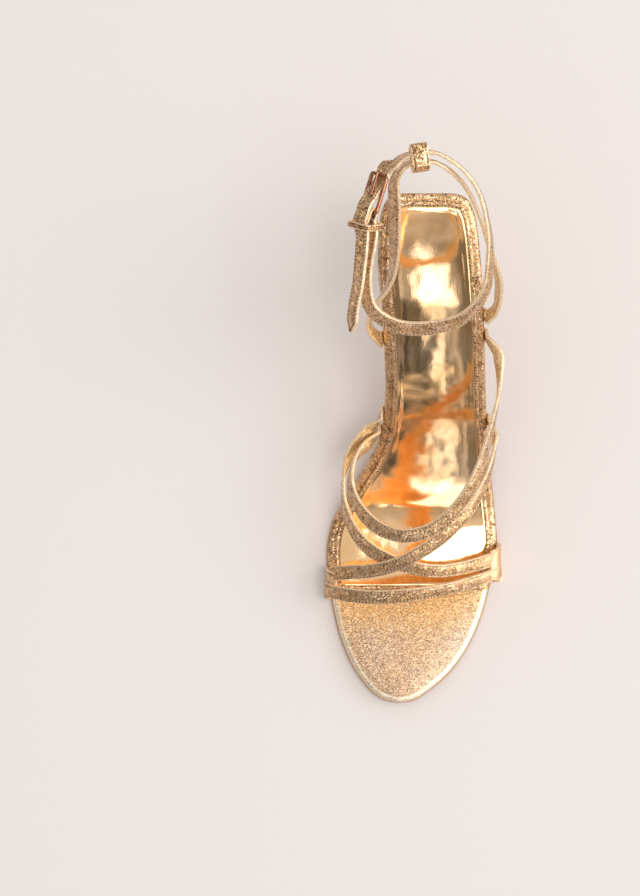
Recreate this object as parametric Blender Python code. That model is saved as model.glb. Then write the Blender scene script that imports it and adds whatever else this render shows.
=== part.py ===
"""Strappy high-heeled sandal for the left foot, fastened, as an assembly of its maker's pieces.

Metres, +Z up. The origin is on the floor under the ball of the foot. The toe points to -Y, the heel to +Y,
the inner side of the foot to -X and the outer side to +X. Tables give places as shares of the named sizes.
"""

import math

import bmesh
import bpy
import numpy as np

LENGTH = 0.231  # toe tip to back of the seat, measured level
BALL_AT = 0.30  # where the ball lies, as a share of LENGTH from the toe tip
BALL_WIDTH = 0.080
HEEL_HEIGHT = 0.095  # floor to the top of the board at its back
TOE_SPRING = 0.003
INSTEP = 0.050  # unit for heights of the front straps above the board
COLLAR = 0.060  # seat to ankle ring
ANKLE_REACH = 0.036  # half depth of the ankle ring
ANKLE_AT = 0.887  # ankle's upright axis, as a share of LENGTH from the toe tip

OUTSOLE = 0.0030
OUTSOLE_PROUD = 0.0007  # how far the outsole stands out beyond the board at the toe
OUTSOLE_SHY = 0.0008  # how far it stays inside the board at the waist
BOARD = 0.0035
BOARD_EDGE = 0.0014  # radius of the board's upper edge
BOARD_ARRIS = 0.0005  # softening of the board's lower edge
SOLE_EDGE = 0.0006  # softening of the outsole's edges
SOCK = 0.0015
SOCK_ARRIS = 0.0003  # softening of the sock's edges
SOCK_CROWN = 0.0009  # how much the padding rises in the middle
SOCK_INSET = 0.0033
SOCK_FROM = 0.2155  # front edge of the sock, as a share of LENGTH
BREAST_AT = 0.80  # front of the heel
HEEL_TIP_FORWARD = 0.018  # centre of the heel's tip, from the back of the seat
TIP_WIDTH = 0.0095
TIP_DEPTH = 0.0100
TIP_SQUARENESS = 3.2  # 2 would be round
TOP_PIECE_ARRIS = 0.0006
HEEL_SHY = 0.0004  # how far the heel's top stays inside the board's edge
BREAST_GAP = 0.0016  # room between the outsole's end and the heel
TOP_PIECE = 0.0060

STRAP = 0.0016
STRAP_WIDTH = 0.0068
STRAP_END = 0.0010  # thickness of a strap's end where it is pared to go under the board
TUCK_IN = 0.0065  # how far an end goes in under the board
INNER_BAND = 0.0160  # width of the joined end of the toe straps on the inner side
OUTER_BAND = 0.0185
JOIN_TAPER = 0.72  # a joined end's upper width, as a share of its lower width
BURIED = 0.0011  # thickness of a strap's end inside a joined end
POINT_LENGTH = 0.0048  # length of the free end's point
POINT_TIP = 0.0020  # width of its blunt tip
CLEARANCE = 0.0003

FRAME_LENGTH = 0.0170
FRAME_WIRE = 0.0014
FRAME_THICK = 0.0016
FRAME_CORNER = 0.0014
PRONG_PAST = 0.0010  # how far the pin reaches past the frame's far side
PRONG = 0.0012
HOLE = 0.0016
HOLE_STEP = 0.0065
HOLES = 5
FIRST_HOLE = 0.0125  # from the free end's tip
LOOP_WIDTH = 0.0028
LOOP_WALL = 0.0010
KEEPER_WIDTH = 0.0073
KEEPER_WALL = 0.0012
KEEPER_SLACK = 0.0003  # how far the keeper stands off behind the ring
KEEPER_ASIDE = -0.0044  # keeper's middle, from the shoe's middle line
LOOP_AHEAD = 0.0072  # narrow loop's middle, from the buckle's bar

STACK = OUTSOLE + CLEARANCE + BOARD

# along, rise, spring: the board's top line, as shares of LENGTH, of the climb to the seat and of TOE_SPRING
PROFILE = [
    (0.00, 0.000, 1.00),
    (0.10, 0.000, 0.33),
    (0.20, 0.000, 0.00),
    (0.35, 0.000, 0.00),
    (0.40, 0.018, 0.00),
    (0.44, 0.062, 0.00),
    (0.50, 0.158, 0.00),
    (0.56, 0.286, 0.00),
    (0.62, 0.427, 0.00),
    (0.68, 0.569, 0.00),
    (0.74, 0.700, 0.00),
    (0.80, 0.813, 0.00),
    (0.86, 0.892, 0.00),
    (0.92, 0.949, 0.00),
    (1.00, 1.000, 0.00),
]

# along, across: the board's outline from toe tip to seat back, as shares of LENGTH and of BALL_WIDTH
INNER_SIDE = [
    (0.000, -0.100),
    (0.012, -0.202),
    (0.054, -0.320),
    (0.117, -0.414),
    (0.184, -0.468),
    (0.260, -0.503),
    (0.322, -0.509),
    (0.373, -0.476),
    (0.414, -0.403),
    (0.455, -0.330),
    (0.496, -0.258),
    (0.536, -0.211),
    (0.596, -0.186),
    (0.692, -0.193),
    (0.785, -0.215),
    (0.859, -0.238),
    (0.932, -0.234),
    (0.969, -0.219),
    (0.990, -0.185),
    (0.999, -0.110),
    (1.000, 0.053),
]
OUTER_SIDE = [
    (0.000, -0.100),
    (0.005, -0.013),
    (0.026, 0.087),
    (0.066, 0.217),
    (0.107, 0.304),
    (0.168, 0.387),
    (0.229, 0.438),
    (0.281, 0.473),
    (0.332, 0.491),
    (0.370, 0.484),
    (0.455, 0.452),
    (0.536, 0.419),
    (0.615, 0.393),
    (0.711, 0.370),
    (0.804, 0.347),
    (0.896, 0.320),
    (0.932, 0.306),
    (0.967, 0.282),
    (0.989, 0.247),
    (0.999, 0.170),
    (1.000, 0.053),
]

# along, axis, half, widest, rise: the foot's cross-sections above the board. Axis and half are shares of
# BALL_WIDTH, widest and rise are shares of INSTEP.
LAST = [
    (0.15, -0.03, 0.450, 0.08, 0.25),
    (0.23, -0.02, 0.515, 0.10, 0.37),
    (0.26, -0.01, 0.525, 0.12, 0.45),
    (0.30, 0.00, 0.515, 0.14, 0.54),
    (0.35, 0.00, 0.500, 0.16, 0.64),
    (0.40, 0.00, 0.475, 0.18, 0.70),
    (0.45, 0.00, 0.455, 0.20, 0.75),
    (0.50, 0.01, 0.445, 0.22, 0.80),
    (0.60, 0.03, 0.430, 0.28, 0.90),
    (0.70, 0.04, 0.420, 0.35, 1.00),
    (0.80, 0.05, 0.400, 0.40, 1.10),
]

# drop, centre, top, tip: the heel's sections from its top down. Centre runs from the tip's centre (0) to the
# top's centre (1); top and tip say how much of the top's outline and of the tip's outline make the section.
HEEL_SECTIONS = [
    (0.00, 1.00, 1.000, 0.00),
    (0.04, 0.95, 0.885, 0.04),
    (0.09, 0.84, 0.720, 0.13),
    (0.16, 0.68, 0.530, 0.28),
    (0.26, 0.50, 0.340, 0.50),
    (0.40, 0.30, 0.190, 0.74),
    (0.60, 0.13, 0.080, 0.92),
    (0.80, 0.04, 0.025, 0.99),
    (1.00, 0.00, 0.000, 1.00),
]

# along, across, up, lift: centre lines of the front straps, as shares of LENGTH, BALL_WIDTH, INSTEP and STRAP
TOE_STRAP = [
    (0.2330, -0.515, 0.150, 0.0),
    (0.2290, -0.469, 0.243, 0.0),
    (0.2240, -0.382, 0.342, 0.0),
    (0.2215, -0.266, 0.422, 0.0),
    (0.2235, -0.093, 0.472, 0.0),
    (0.2300, 0.051, 0.473, 0.0),
    (0.2390, 0.198, 0.413, 0.0),
    (0.2490, 0.318, 0.313, 0.0),
    (0.2580, 0.412, 0.208, 0.0),
    (0.2680, 0.482, 0.120, 0.0),
]
CROSS_OVER = [
    (0.2600, -0.500, 0.150, 0.0),
    (0.2660, -0.460, 0.263, 0.0),
    (0.2710, -0.382, 0.383, 0.1),
    (0.2760, -0.267, 0.484, 0.6),
    (0.2870, -0.153, 0.584, 0.9),
    (0.3000, -0.068, 0.654, 0.9),
    (0.3160, 0.016, 0.701, 0.6),
    (0.3340, 0.101, 0.737, 0.2),
    (0.3580, 0.185, 0.762, 0.0),
    (0.3880, 0.271, 0.747, 0.0),
    (0.4180, 0.333, 0.695, 0.0),
    (0.4510, 0.386, 0.602, 0.0),
    (0.4870, 0.424, 0.449, 0.0),
    (0.5220, 0.446, 0.284, 0.0),
    (0.5460, 0.450, 0.150, 0.0),
]
CROSS_UNDER = [
    (0.5600, -0.262, 0.010, 0.0),
    (0.5360, -0.330, 0.060, 0.0),
    (0.5000, -0.390, 0.125, 0.0),
    (0.4560, -0.420, 0.218, 0.0),
    (0.4160, -0.417, 0.298, 0.0),
    (0.3760, -0.388, 0.389, 0.0),
    (0.3420, -0.336, 0.456, 0.0),
    (0.3180, -0.268, 0.520, 0.0),
    (0.3010, -0.182, 0.584, 0.0),
    (0.2890, -0.096, 0.614, 0.0),
    (0.2790, 0.019, 0.604, 0.0),
    (0.2750, 0.136, 0.543, 0.0),
    (0.2790, 0.255, 0.444, 0.0),
    (0.2880, 0.378, 0.300, 0.0),
    (0.2970, 0.475, 0.150, 0.0),
]
INSTEP_STRAP = [
    (0.5300, -0.272, 0.080, 0.0),
    (0.5080, -0.335, 0.200, 0.0),
    (0.4800, -0.372, 0.330, 0.0),
    (0.4530, -0.381, 0.448, 0.0),
    (0.4270, -0.367, 0.542, 0.0),
    (0.3930, -0.316, 0.649, 0.0),
    (0.3640, -0.225, 0.731, 0.2),
    (0.3490, -0.100, 0.784, 0.4),
    (0.3560, 0.043, 0.813, 0.5),
    (0.3810, 0.156, 0.838, 0.5),
    (0.4160, 0.240, 0.845, 0.5),
    (0.4540, 0.307, 0.821, 0.3),
    (0.4970, 0.362, 0.719, 0.0),
    (0.5360, 0.393, 0.632, 0.0),
    (0.5850, 0.423, 0.497, 0.0),
    (0.6230, 0.442, 0.386, 0.0),
    (0.6710, 0.447, 0.246, 0.0),
    (0.7050, 0.436, 0.130, 0.0),
]

# along, across, up: centre lines of the joined ends of the toe straps
INNER_JOIN = [
    (0.2450, -0.520, 0.100),
    (0.2440, -0.500, 0.200),
    (0.2430, -0.462, 0.262),
]
OUTER_JOIN = [
    (0.2860, 0.500, 0.060),
    (0.2840, 0.485, 0.140),
    (0.2820, 0.440, 0.205),
]

# side, along, slant, width: where each strap's end meets the board's edge. Side is -1 for the inner one.
# Slant is how far the end heads back for each unit inwards.
TUCKS = {
    "inner_band": (-1, 0.244, 0.0, INNER_BAND),
    "outer_band": (1, 0.286, 0.0, OUTER_BAND),
    "over": (1, 0.566, 0.25, STRAP_WIDTH),
    "under": (-1, 0.580, 0.25, STRAP_WIDTH),
    "instep_inner": (-1, 0.545, 0.25, STRAP_WIDTH),
    "instep_outer": (1, 0.730, 0.2, STRAP_WIDTH),
    "sling_outer": (1, 0.768, -0.1, STRAP_WIDTH),
    "sling_inner": (-1, 0.726, -0.25, STRAP_WIDTH),
}

# turn, reach, rise, lean: centre lines round the ankle. Turn is in degrees from straight back towards the
# outer side, reach a share of ANKLE_REACH, rise a share of COLLAR above the seat's back, lean the tilt of the
# outer face above level, in degrees.
SLING = [
    (127, 1.13, -0.34, -30),
    (122, 1.10, -0.23, -34),
    (115.5, 1.04, -0.10, -29),
    (109, 0.97, 0.03, -20),
    (101, 0.88, 0.17, -10),
    (90, 0.79, 0.30, 0),
    (75, 0.73, 0.45, 8),
    (57, 0.72, 0.60, 14),
    (41, 0.76, 0.73, 18),
    (27, 0.81, 0.85, 18),
    (15, 0.86, 0.93, 15),
    (5, 0.90, 0.97, 12),
    (-8, 0.925, 0.98, 14),
    (-17, 0.90, 0.96, 20),
    (-25, 0.84, 0.92, 30),
    (-31, 0.75, 0.87, 42),
    (-37, 0.63, 0.80, 48),
    (-52, 0.47, 0.68, 48),
    (-78, 0.37, 0.55, 46),
    (-107, 0.38, 0.42, 42),
    (-127, 0.48, 0.28, 34),
    (-135, 0.62, 0.15, 20),
    (-137, 0.77, 0.02, 0),
    (-139, 0.91, -0.12, -22),
    (-142, 1.03, -0.25, -30),
    (-147, 1.10, -0.35, -26),
]
RING = [
    (-79, 0.66, 0.89, 46),
    (-92, 0.66, 0.86, 44),
    (-105, 0.71, 0.81, 42),
    (-119, 0.81, 0.75, 42),
    (-138, 0.97, 0.65, 46),
    (-159, 0.99, 0.57, 50),
    (-184, 0.95, 0.57, 50),
    (-209, 0.94, 0.62, 42),
    (-230, 0.87, 0.72, 32),
    (-255, 0.74, 0.82, 24),
    (-273, 0.71, 0.86, 18),
    (-291, 0.72, 0.90, 14),
    (-308, 0.78, 0.93, 12),
    (-322, 0.84, 0.97, 10),
    (-334, 0.90, 0.99, 10),
    (-345, 0.95, 1.01, 10),
    (-356, 1.00, 1.02, 10),
    (-367, 1.00, 1.02, 14),
    (-377, 0.99, 1.01, 24),
    (-386, 0.95, 0.99, 38),
]
FREE_END = [
    (-80, 0.770, 0.955, 48),
    (-94, 0.760, 0.920, 45),
    (-108, 0.815, 0.880, 42),
    (-120, 0.920, 0.830, 40),
    (-130, 1.100, 0.770, 38),
    (-139, 1.330, 0.700, 36),
]

# The buckle's place in the same terms, and the way it points: heading is its turn from straight ahead towards
# the inner side, droop its dip towards the toe, lean the tilt of its face above level.
BUCKLE_TURN = -48
BUCKLE_REACH = 0.83
BUCKLE_RISE = 0.95
BUCKLE_HEADING = 17
BUCKLE_DROOP = 12
BUCKLE_LEAN = 50


# Numbers


def monotone(table, column, at):
    """Reads one column of a table by its first, without overshoot and exactly level between equal rows."""
    table = np.array(table, float)
    x, y = table[:, 0], table[:, column]
    step = np.diff(y) / np.diff(x)
    same = step[:-1] * step[1:] > 0
    middle = np.zeros(len(step) - 1)
    middle[same] = 2 * step[:-1][same] * step[1:][same] / (step[:-1][same] + step[1:][same])
    slope = np.concatenate([step[:1], middle, step[-1:]])
    at = np.clip(np.asarray(at, float), x[0], x[-1])
    k = np.clip(np.searchsorted(x, at, "right") - 1, 0, len(x) - 2)
    width = x[k + 1] - x[k]
    t = (at - x[k]) / width
    start = (2 * t**3 - 3 * t**2 + 1) * y[k] + (t**3 - 2 * t**2 + t) * width * slope[k]
    return start + (3 * t**2 - 2 * t**3) * y[k + 1] + (t**3 - t**2) * width * slope[k + 1]


def gone_along(points):
    """Distance from the first point to each, along the corners."""
    return np.concatenate([[0], np.cumsum(np.linalg.norm(np.diff(points, axis=0), axis=1))])


def curve(rows, axes):
    """A smooth curve through rows, as a function of the distance along them, with each row's distance."""
    rows = np.array(rows, float)
    knots = gone_along(rows[:, :axes])
    slope = np.gradient(rows, knots, axis=0)

    def at(u):
        k = np.clip(np.searchsorted(knots, u, "right") - 1, 0, len(knots) - 2)
        width = (knots[k + 1] - knots[k])[:, None]
        t = ((u - knots[k]) / width[:, 0])[:, None]
        start = (2 * t**3 - 3 * t**2 + 1) * rows[k] + (t**3 - 2 * t**2 + t) * width * slope[k]
        return start + (3 * t**2 - 2 * t**3) * rows[k + 1] + (t**3 - t**2) * width * slope[k + 1]

    return at, knots


def smooth(rows, count, axes):
    """A smooth curve through rows, as count rows evenly spaced by the first axes columns."""
    at, knots = curve(rows, axes)
    fine = np.linspace(0, knots[-1], 30 * len(rows))
    run = gone_along(at(fine)[:, :axes])
    return at(np.interp(np.linspace(0, run[-1], count), run, fine))


def unit(vectors):
    return vectors / np.linalg.norm(vectors, axis=-1, keepdims=True)


# The foot's bed


def share_at(y):
    return y / LENGTH + BALL_AT


def place(along):
    return (along - BALL_AT) * LENGTH


def bed(y):
    """Height of the board's top."""
    along = share_at(y)
    rise = monotone(PROFILE, 1, along) * (HEEL_HEIGHT - STACK)
    return STACK + rise + monotone(PROFILE, 2, along) * TOE_SPRING


def bed_slope(y):
    step = 0.0004
    return (bed(y + step) - bed(y - step)) / (2 * step)


def on_bed(x, y, height):
    """Points above (or below) the board's top, measured square to it."""
    slope = bed_slope(y)
    size = np.sqrt(1 + slope**2)
    return np.stack([x, y - height * slope / size, bed(y) + height / size], axis=-1)


def outline(start, end, inset, count):
    """The board's inner and outer side from start to end, each as count points on the floor plan."""
    fine = 160
    scale = np.array([LENGTH, BALL_WIDTH])
    inner = smooth(np.array(INNER_SIDE) * scale, fine, 2)[:, ::-1]
    outer = smooth(np.array(OUTER_SIDE) * scale, fine, 2)[:, ::-1]
    loop = np.concatenate([inner, outer[-2:0:-1]])
    along = np.roll(loop, -1, axis=0) - np.roll(loop, 1, axis=0)
    inward = unit(np.stack([along[:, 1], -along[:, 0]], axis=1))
    if callable(inset):
        inset = inset(loop[:, 1] / LENGTH)[:, None]
    loop = loop + inward * inset
    sides = []
    for side in (loop[:fine], np.concatenate([loop[:1], loop[:fine - 2:-1]])):
        run = gone_along(side)
        cuts = [0, run[-1]]
        if start > 0:
            cuts[0] = np.interp(start * LENGTH, side[8:-12, 1], run[8:-12])
        if end < 1:
            cuts[1] = np.interp(end * LENGTH, side[8:-12, 1], run[8:-12])
        even = np.linspace(cuts[0], cuts[1], count)
        points = np.stack([np.interp(even, run, side[:, k]) for k in (0, 1)], axis=1)
        points[:, 1] -= BALL_AT * LENGTH
        sides.append(points)
    return sides


# Meshes


def material(name, colour, metallic, roughness):
    made = bpy.data.materials.new(name)
    made.use_nodes = True
    shader = made.node_tree.nodes["Principled BSDF"]
    shader.inputs["Base Color"].default_value = (*colour, 1.0)
    shader.inputs["Metallic"].default_value = metallic
    shader.inputs["Roughness"].default_value = roughness
    made.diffuse_color = (*colour, 1.0)
    return made


def body(name, points, faces, surface=None):
    """A closed mesh object from points and faces; points that fall together are joined."""
    points = np.asarray(points)
    keys = {}
    index = []
    kept = []
    for point in np.round(points * 1e7).astype(int):
        key = tuple(point)
        if key not in keys:
            keys[key] = len(kept)
            kept.append(point / 1e7)
        index.append(keys[key])
    clean = []
    for face in faces:
        corners = []
        for corner in face:
            if index[corner] not in corners:
                corners.append(index[corner])
        if len(corners) > 2:
            clean.append(corners)
    mesh = bpy.data.meshes.new(name)
    mesh.from_pydata(kept, [], clean)
    shape = bmesh.new()
    shape.from_mesh(mesh)
    bmesh.ops.recalc_face_normals(shape, faces=shape.faces)
    if shape.calc_volume(signed=True) < 0:
        bmesh.ops.reverse_faces(shape, faces=shape.faces)
    shape.to_mesh(mesh)
    shape.free()
    mesh.shade_smooth()
    mesh.set_sharp_from_angle(angle=math.radians(40))
    made = bpy.data.objects.new(name, mesh)
    bpy.context.scene.collection.objects.link(made)
    if surface:
        mesh.materials.append(surface)
    return made


def slab(name, start, end, rings, count, lanes, crown=0.0, surface=None):
    """A sheet that follows the board. Rings are (inset, height) from the middle of its bottom to its top."""
    shares = np.linspace(0, 1, lanes + 2)[1:-1]
    points = []
    loops = []
    for inset, height in rings:
        inner, outer = outline(start, end, inset, count)
        back = inner[-1] + shares[:, None] * (outer[-1] - inner[-1])
        front = outer[0] + shares[:, None] * (inner[0] - outer[0])
        loop = np.concatenate([inner, back, outer[::-1], front])
        loops.append(len(points) + np.arange(len(loop)))
        points.extend(on_bed(loop[:, 0], loop[:, 1], height))
    faces = []
    size = len(loops[0])
    for low, high in zip(loops, loops[1:]):
        for k in range(size):
            after = (k + 1) % size
            faces.append((low[k], low[after], high[after], high[k]))
    for loop, (inset, height), rise in ((loops[0], rings[0], 0.0), (loops[-1], rings[-1], crown)):
        inner, outer = outline(start, end, inset, count)
        rows = [[loop[k]] for k in range(count)]
        for k in range(count):
            if k in (0, count - 1):
                ends = loop[count:count + lanes] if k else loop[:2 * count + lanes - 1:-1]
                rows[k].extend(ends)
            else:
                across = inner[k] + shares[:, None] * (outer[k] - inner[k])
                ramp = min(1.0, k / 3, (count - 1 - k) / 3)
                heights = height + rise * ramp * (1 - (2 * shares - 1) ** 2)
                rows[k].extend(len(points) + np.arange(lanes))
                points.extend(on_bed(across[:, 0], across[:, 1], heights))
            rows[k].append(loop[count + lanes + count - 1 - k])
        for low, high in zip(rows, rows[1:]):
            for k in range(lanes + 1):
                face = (low[k], low[k + 1], high[k + 1], high[k])
                faces.append(face[::-1] if loop is loops[-1] else face)
    return body(name, points, faces, surface)


def loft(name, sections, surface=None, closed=False):
    """Joins sections of equally many points, with flat ends unless the loft runs round to its start."""
    sections = np.asarray(sections)
    count, size = sections.shape[:2]
    faces = []
    for k in range(count if closed else count - 1):
        for j in range(size):
            here, after = k * size, (k + 1) % count * size
            faces.append((here + j, here + (j + 1) % size, after + (j + 1) % size, after + j))
    if not closed:
        faces.append(tuple(range(size))[::-1])
        faces.append(tuple(range((count - 1) * size, count * size)))
    return body(name, sections.reshape(-1, 3), faces, surface)


def frames(path, normals, closed=False):
    """Unit tangent, outward face and sideways direction at each point of a path."""
    if closed:
        tangent = unit(np.roll(path, -1, axis=0) - np.roll(path, 1, axis=0))
    else:
        tangent = unit(np.gradient(path, axis=0))
    face = unit(normals - tangent * np.sum(normals * tangent, axis=1, keepdims=True))
    return tangent, face, np.cross(tangent, face)


def ribbon(name, path, normals, width, thick, surface=None, closed=False):
    """A strap along path: a flat section with softened corners. Width and thick may vary along it."""
    _, face, side = frames(path, normals, closed)
    a = np.broadcast_to(np.asarray(width, float) / 2, len(path))[:, None]
    b = np.broadcast_to(np.asarray(thick, float) / 2, len(path))[:, None]
    c = 0.55 * b
    corners = [(-a, -b + c), (-a, b - c), (-a + c, b), (a - c, b)]
    corners += [(-x, -y) for x, y in corners]
    sections = np.stack([path + x * side + y * face for x, y in corners], axis=1)
    return loft(name, sections, surface, closed)


def helper(made):
    """Hides a mesh that only cuts or joins."""
    made.hide_render = True
    made.display_type = "WIRE"
    return made


def combine(target, others, operation):
    for other in others:
        modifier = target.modifiers.new(other.name, "BOOLEAN")
        modifier.operation = operation
        modifier.solver = "EXACT"
        modifier.object = helper(other)


# Straps


def foot_level(points):
    """Grows outwards from the axis of the foot form; its gradient is the way a strap on the foot faces."""
    along = share_at(points[:, 1])
    values = [np.interp(along, [row[0] for row in LAST], [row[k] for row in LAST]) for k in range(1, 5)]
    axis, half, widest, rise = values
    up = (points[:, 2] - bed(points[:, 1])) / INSTEP - widest
    depth = np.where(up > 0, rise, widest + 0.12)
    return ((points[:, 0] / BALL_WIDTH - axis) / half) ** 2 + (up / depth) ** 2


def foot_facing(points):
    step = 0.0006
    ways = [foot_level(points + step * way) - foot_level(points - step * way) for way in np.eye(3)]
    return unit(np.stack(ways, axis=1))


def strand_rows(points, facings, thick=STRAP):
    """Control rows of a strap: place, the way its outer face looks, and thickness."""
    thick = np.broadcast_to(thick, len(points))[:, None]
    return np.concatenate([points, facings, thick], axis=1)


def on_foot(rows):
    """Control rows from centre-line rows (along, across, up and, where given, lift)."""
    rows = np.array(rows, float)
    y = place(rows[:, 0])
    points = np.stack([rows[:, 1] * BALL_WIDTH, y, bed(y) + rows[:, 2] * INSTEP], axis=1)
    facing = foot_facing(points)
    if rows.shape[1] > 3:
        points = points + facing * rows[:, 3:4] * STRAP
    return strand_rows(points, facing)


def round_ankle(rows):
    """Control rows from rows (turn, reach, rise, lean) that run round the ankle."""
    rows = np.array(rows, float)
    turn = np.radians(rows[:, 0])
    reach = rows[:, 1] * ANKLE_REACH
    height = HEEL_HEIGHT + rows[:, 2] * COLLAR
    points = np.stack([reach * np.sin(turn), place(ANKLE_AT) + reach * np.cos(turn), height], axis=1)
    tangent = np.gradient(points, axis=0)
    level = unit(np.stack([tangent[:, 1], -tangent[:, 0], 0 * turn], axis=1))
    lean = np.radians(rows[:, 3:4])
    return strand_rows(points, np.cos(lean) * level + np.sin(lean) * np.array([0, 0, 1.0]))


def edge_frame(side, along, width):
    """Where a strap meets the board's edge, clear of the edge over its whole width, and the level way out."""
    inner, outer = outline(0, 1, 0.0, 240)
    run = (inner if side < 0 else outer)[40:-30]
    y = place(along) + np.linspace(-0.5, 0.5, 9) * width
    spots = np.stack([np.interp(y, run[:, 1], run[:, 0]), y], axis=1)
    chord = spots[-1] - spots[0]
    out = side * unit(np.array([chord[1], -chord[0]]))
    return spots[4] + out * max(0.0, ((spots - spots[4]) @ out).max()), out


def tuck(side, along, slant, width):
    """The end of a strap: down past the board's edge, round its lower corner and in under it."""
    (x, y), out = edge_frame(side, along, width)
    nose = 0.0003
    beside = CLEARANCE + STRAP / 2
    under = CLEARANCE + STRAP_END / 2
    rows = [(beside, 0.20 * BOARD, 0), (beside, 0.60 * BOARD, 0)]
    for turned in (0, 22, 45, 68, 90):
        radius = beside + nose + (under - beside) * turned / 90
        a = math.radians(turned)
        rows.append((radius * math.cos(a) - nose, BOARD - nose + radius * math.sin(a), turned))
    rows += [(-0.45 * TUCK_IN, BOARD + under, 90), (-TUCK_IN, BOARD + under, 90)]
    slope = math.atan(bed_slope(y))
    outward = np.array([out[0], out[1] * math.cos(slope), out[1] * math.sin(slope)])
    downward = np.array([0, math.sin(slope), -math.cos(slope)])
    made = []
    for away, down, turned in rows:
        heading = slant * (beside - away)
        a = math.radians(turned)
        thick = STRAP + (STRAP_END - STRAP) * turned / 90
        spot = on_bed(x + away * out[0], y + away * out[1] + heading, -down)
        made.append([*spot, *(math.cos(a) * outward + math.sin(a) * downward), thick])
    return np.array(made)


def strand(parts):
    """One smooth path through parts: (control rows, points between its ends, or 0 to keep just its rows)."""
    at, knots = curve(np.concatenate([rows for rows, _ in parts]), 3)
    places = []
    first = 0
    for rows, count in parts:
        last = first + len(rows) - 1
        places.extend(np.linspace(knots[first], knots[last], count) if count else knots[first:last + 1])
        first = last + 1
    made = at(np.array(places))
    return made[:, :3], unit(made[:, 3:6]), made[:, 6]


def pocket(name, side, along, slant, width):
    """The room that a tucked end takes in the outsole, open at its edge."""
    (x, y), out = edge_frame(side, along, width)
    beside = CLEARANCE + STRAP / 2
    low = BOARD + CLEARANCE + STRAP_END + CLEARANCE
    high = BOARD + 0.5 * CLEARANCE
    ways = np.array([0.0035, 0.0, -0.5 * TUCK_IN, -TUCK_IN - CLEARANCE])
    y = y + ways * out[1] + slant * (beside - ways)
    spots = on_bed(x + ways * out[0], y, np.full(4, -(low + high) / 2))
    slope = np.arctan(bed_slope(y))
    facing = np.stack([0 * slope, np.sin(slope), -np.cos(slope)], axis=1)
    return ribbon(name, spots, facing, width + 2 * CLEARANCE + 3 * abs(slant) * beside, low - high)


def loop_round(name, spot, ahead, out, straps, size, surface):
    """A flat closed loop that clears the straps through it at spot. Size is its width, wall and outer slack."""
    width, wall, slack = size
    out = unit(out - ahead * out.dot(ahead))
    side = np.cross(ahead, out)
    corners = []
    for path, facings in straps:
        _, face, across = frames(path, facings)
        beside = np.abs((path - spot) @ ahead) < width / 2 + 4 * CLEARANCE
        near = beside & (np.linalg.norm(path - spot, axis=1) < 1.5 * STRAP_WIDTH)
        for s, t in ((-1, -1), (-1, 1), (1, -1), (1, 1)):
            corners.extend((path + s * STRAP_WIDTH / 2 * across + t * STRAP / 2 * face)[near] - spot)
    corners = np.array(corners)
    room = 1.5 * CLEARANCE + wall / 2
    low, high = (corners @ out).min() - room, (corners @ out).max() + room + slack
    left, right = (corners @ side).min() - room, (corners @ side).max() + room
    middle = spot + (low + high) / 2 * out + (left + right) / 2 * side
    track = rounded_rectangle((high - low) / 2, (right - left) / 2, 0.9 * wall)
    path = middle + track[:, :1] * out + track[:, 1:2] * side
    facing = track[:, 2:3] * out + track[:, 3:4] * side
    return ribbon(name, path, facing, width, wall, surface, closed=True)


# The buckle


def buckle_axes():
    """The buckle's centre and its directions: along the strap to the toe, out of its face, and sideways."""
    turn, heading, droop, lean = np.radians([BUCKLE_TURN, BUCKLE_HEADING, BUCKLE_DROOP, BUCKLE_LEAN])
    reach = BUCKLE_REACH * ANKLE_REACH
    x, y = reach * math.sin(turn), place(ANKLE_AT) + reach * math.cos(turn)
    centre = np.array([x, y, HEEL_HEIGHT + BUCKLE_RISE * COLLAR])
    level = np.array([-math.sin(heading), -math.cos(heading), 0])
    forward = math.cos(droop) * level - math.sin(droop) * np.array([0, 0, 1.0])
    beside = np.array([level[1], -level[0], 0])
    out = math.cos(lean) * beside + math.sin(lean) * np.array([0, 0, 1.0])
    out = unit(out - forward * out.dot(forward))
    return centre, forward, out, np.cross(forward, out)


CENTRE, FORWARD, OUT, SIDEWAYS = buckle_axes()
BAR_AT = (FRAME_LENGTH - FRAME_WIRE) / 2
WINDOW = STRAP_WIDTH + 2 * CLEARANCE


def by_buckle(rows):
    """Control rows from rows (forward, out, turned, thick): metres from the buckle's centre, and degrees."""
    made = []
    for ahead, out, turned, thick in rows:
        a = math.radians(turned)
        spot = CENTRE + ahead * FORWARD + out * OUT
        made.append([*spot, *(math.cos(a) * OUT + math.sin(a) * FORWARD), thick])
    return np.array(made)


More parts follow.
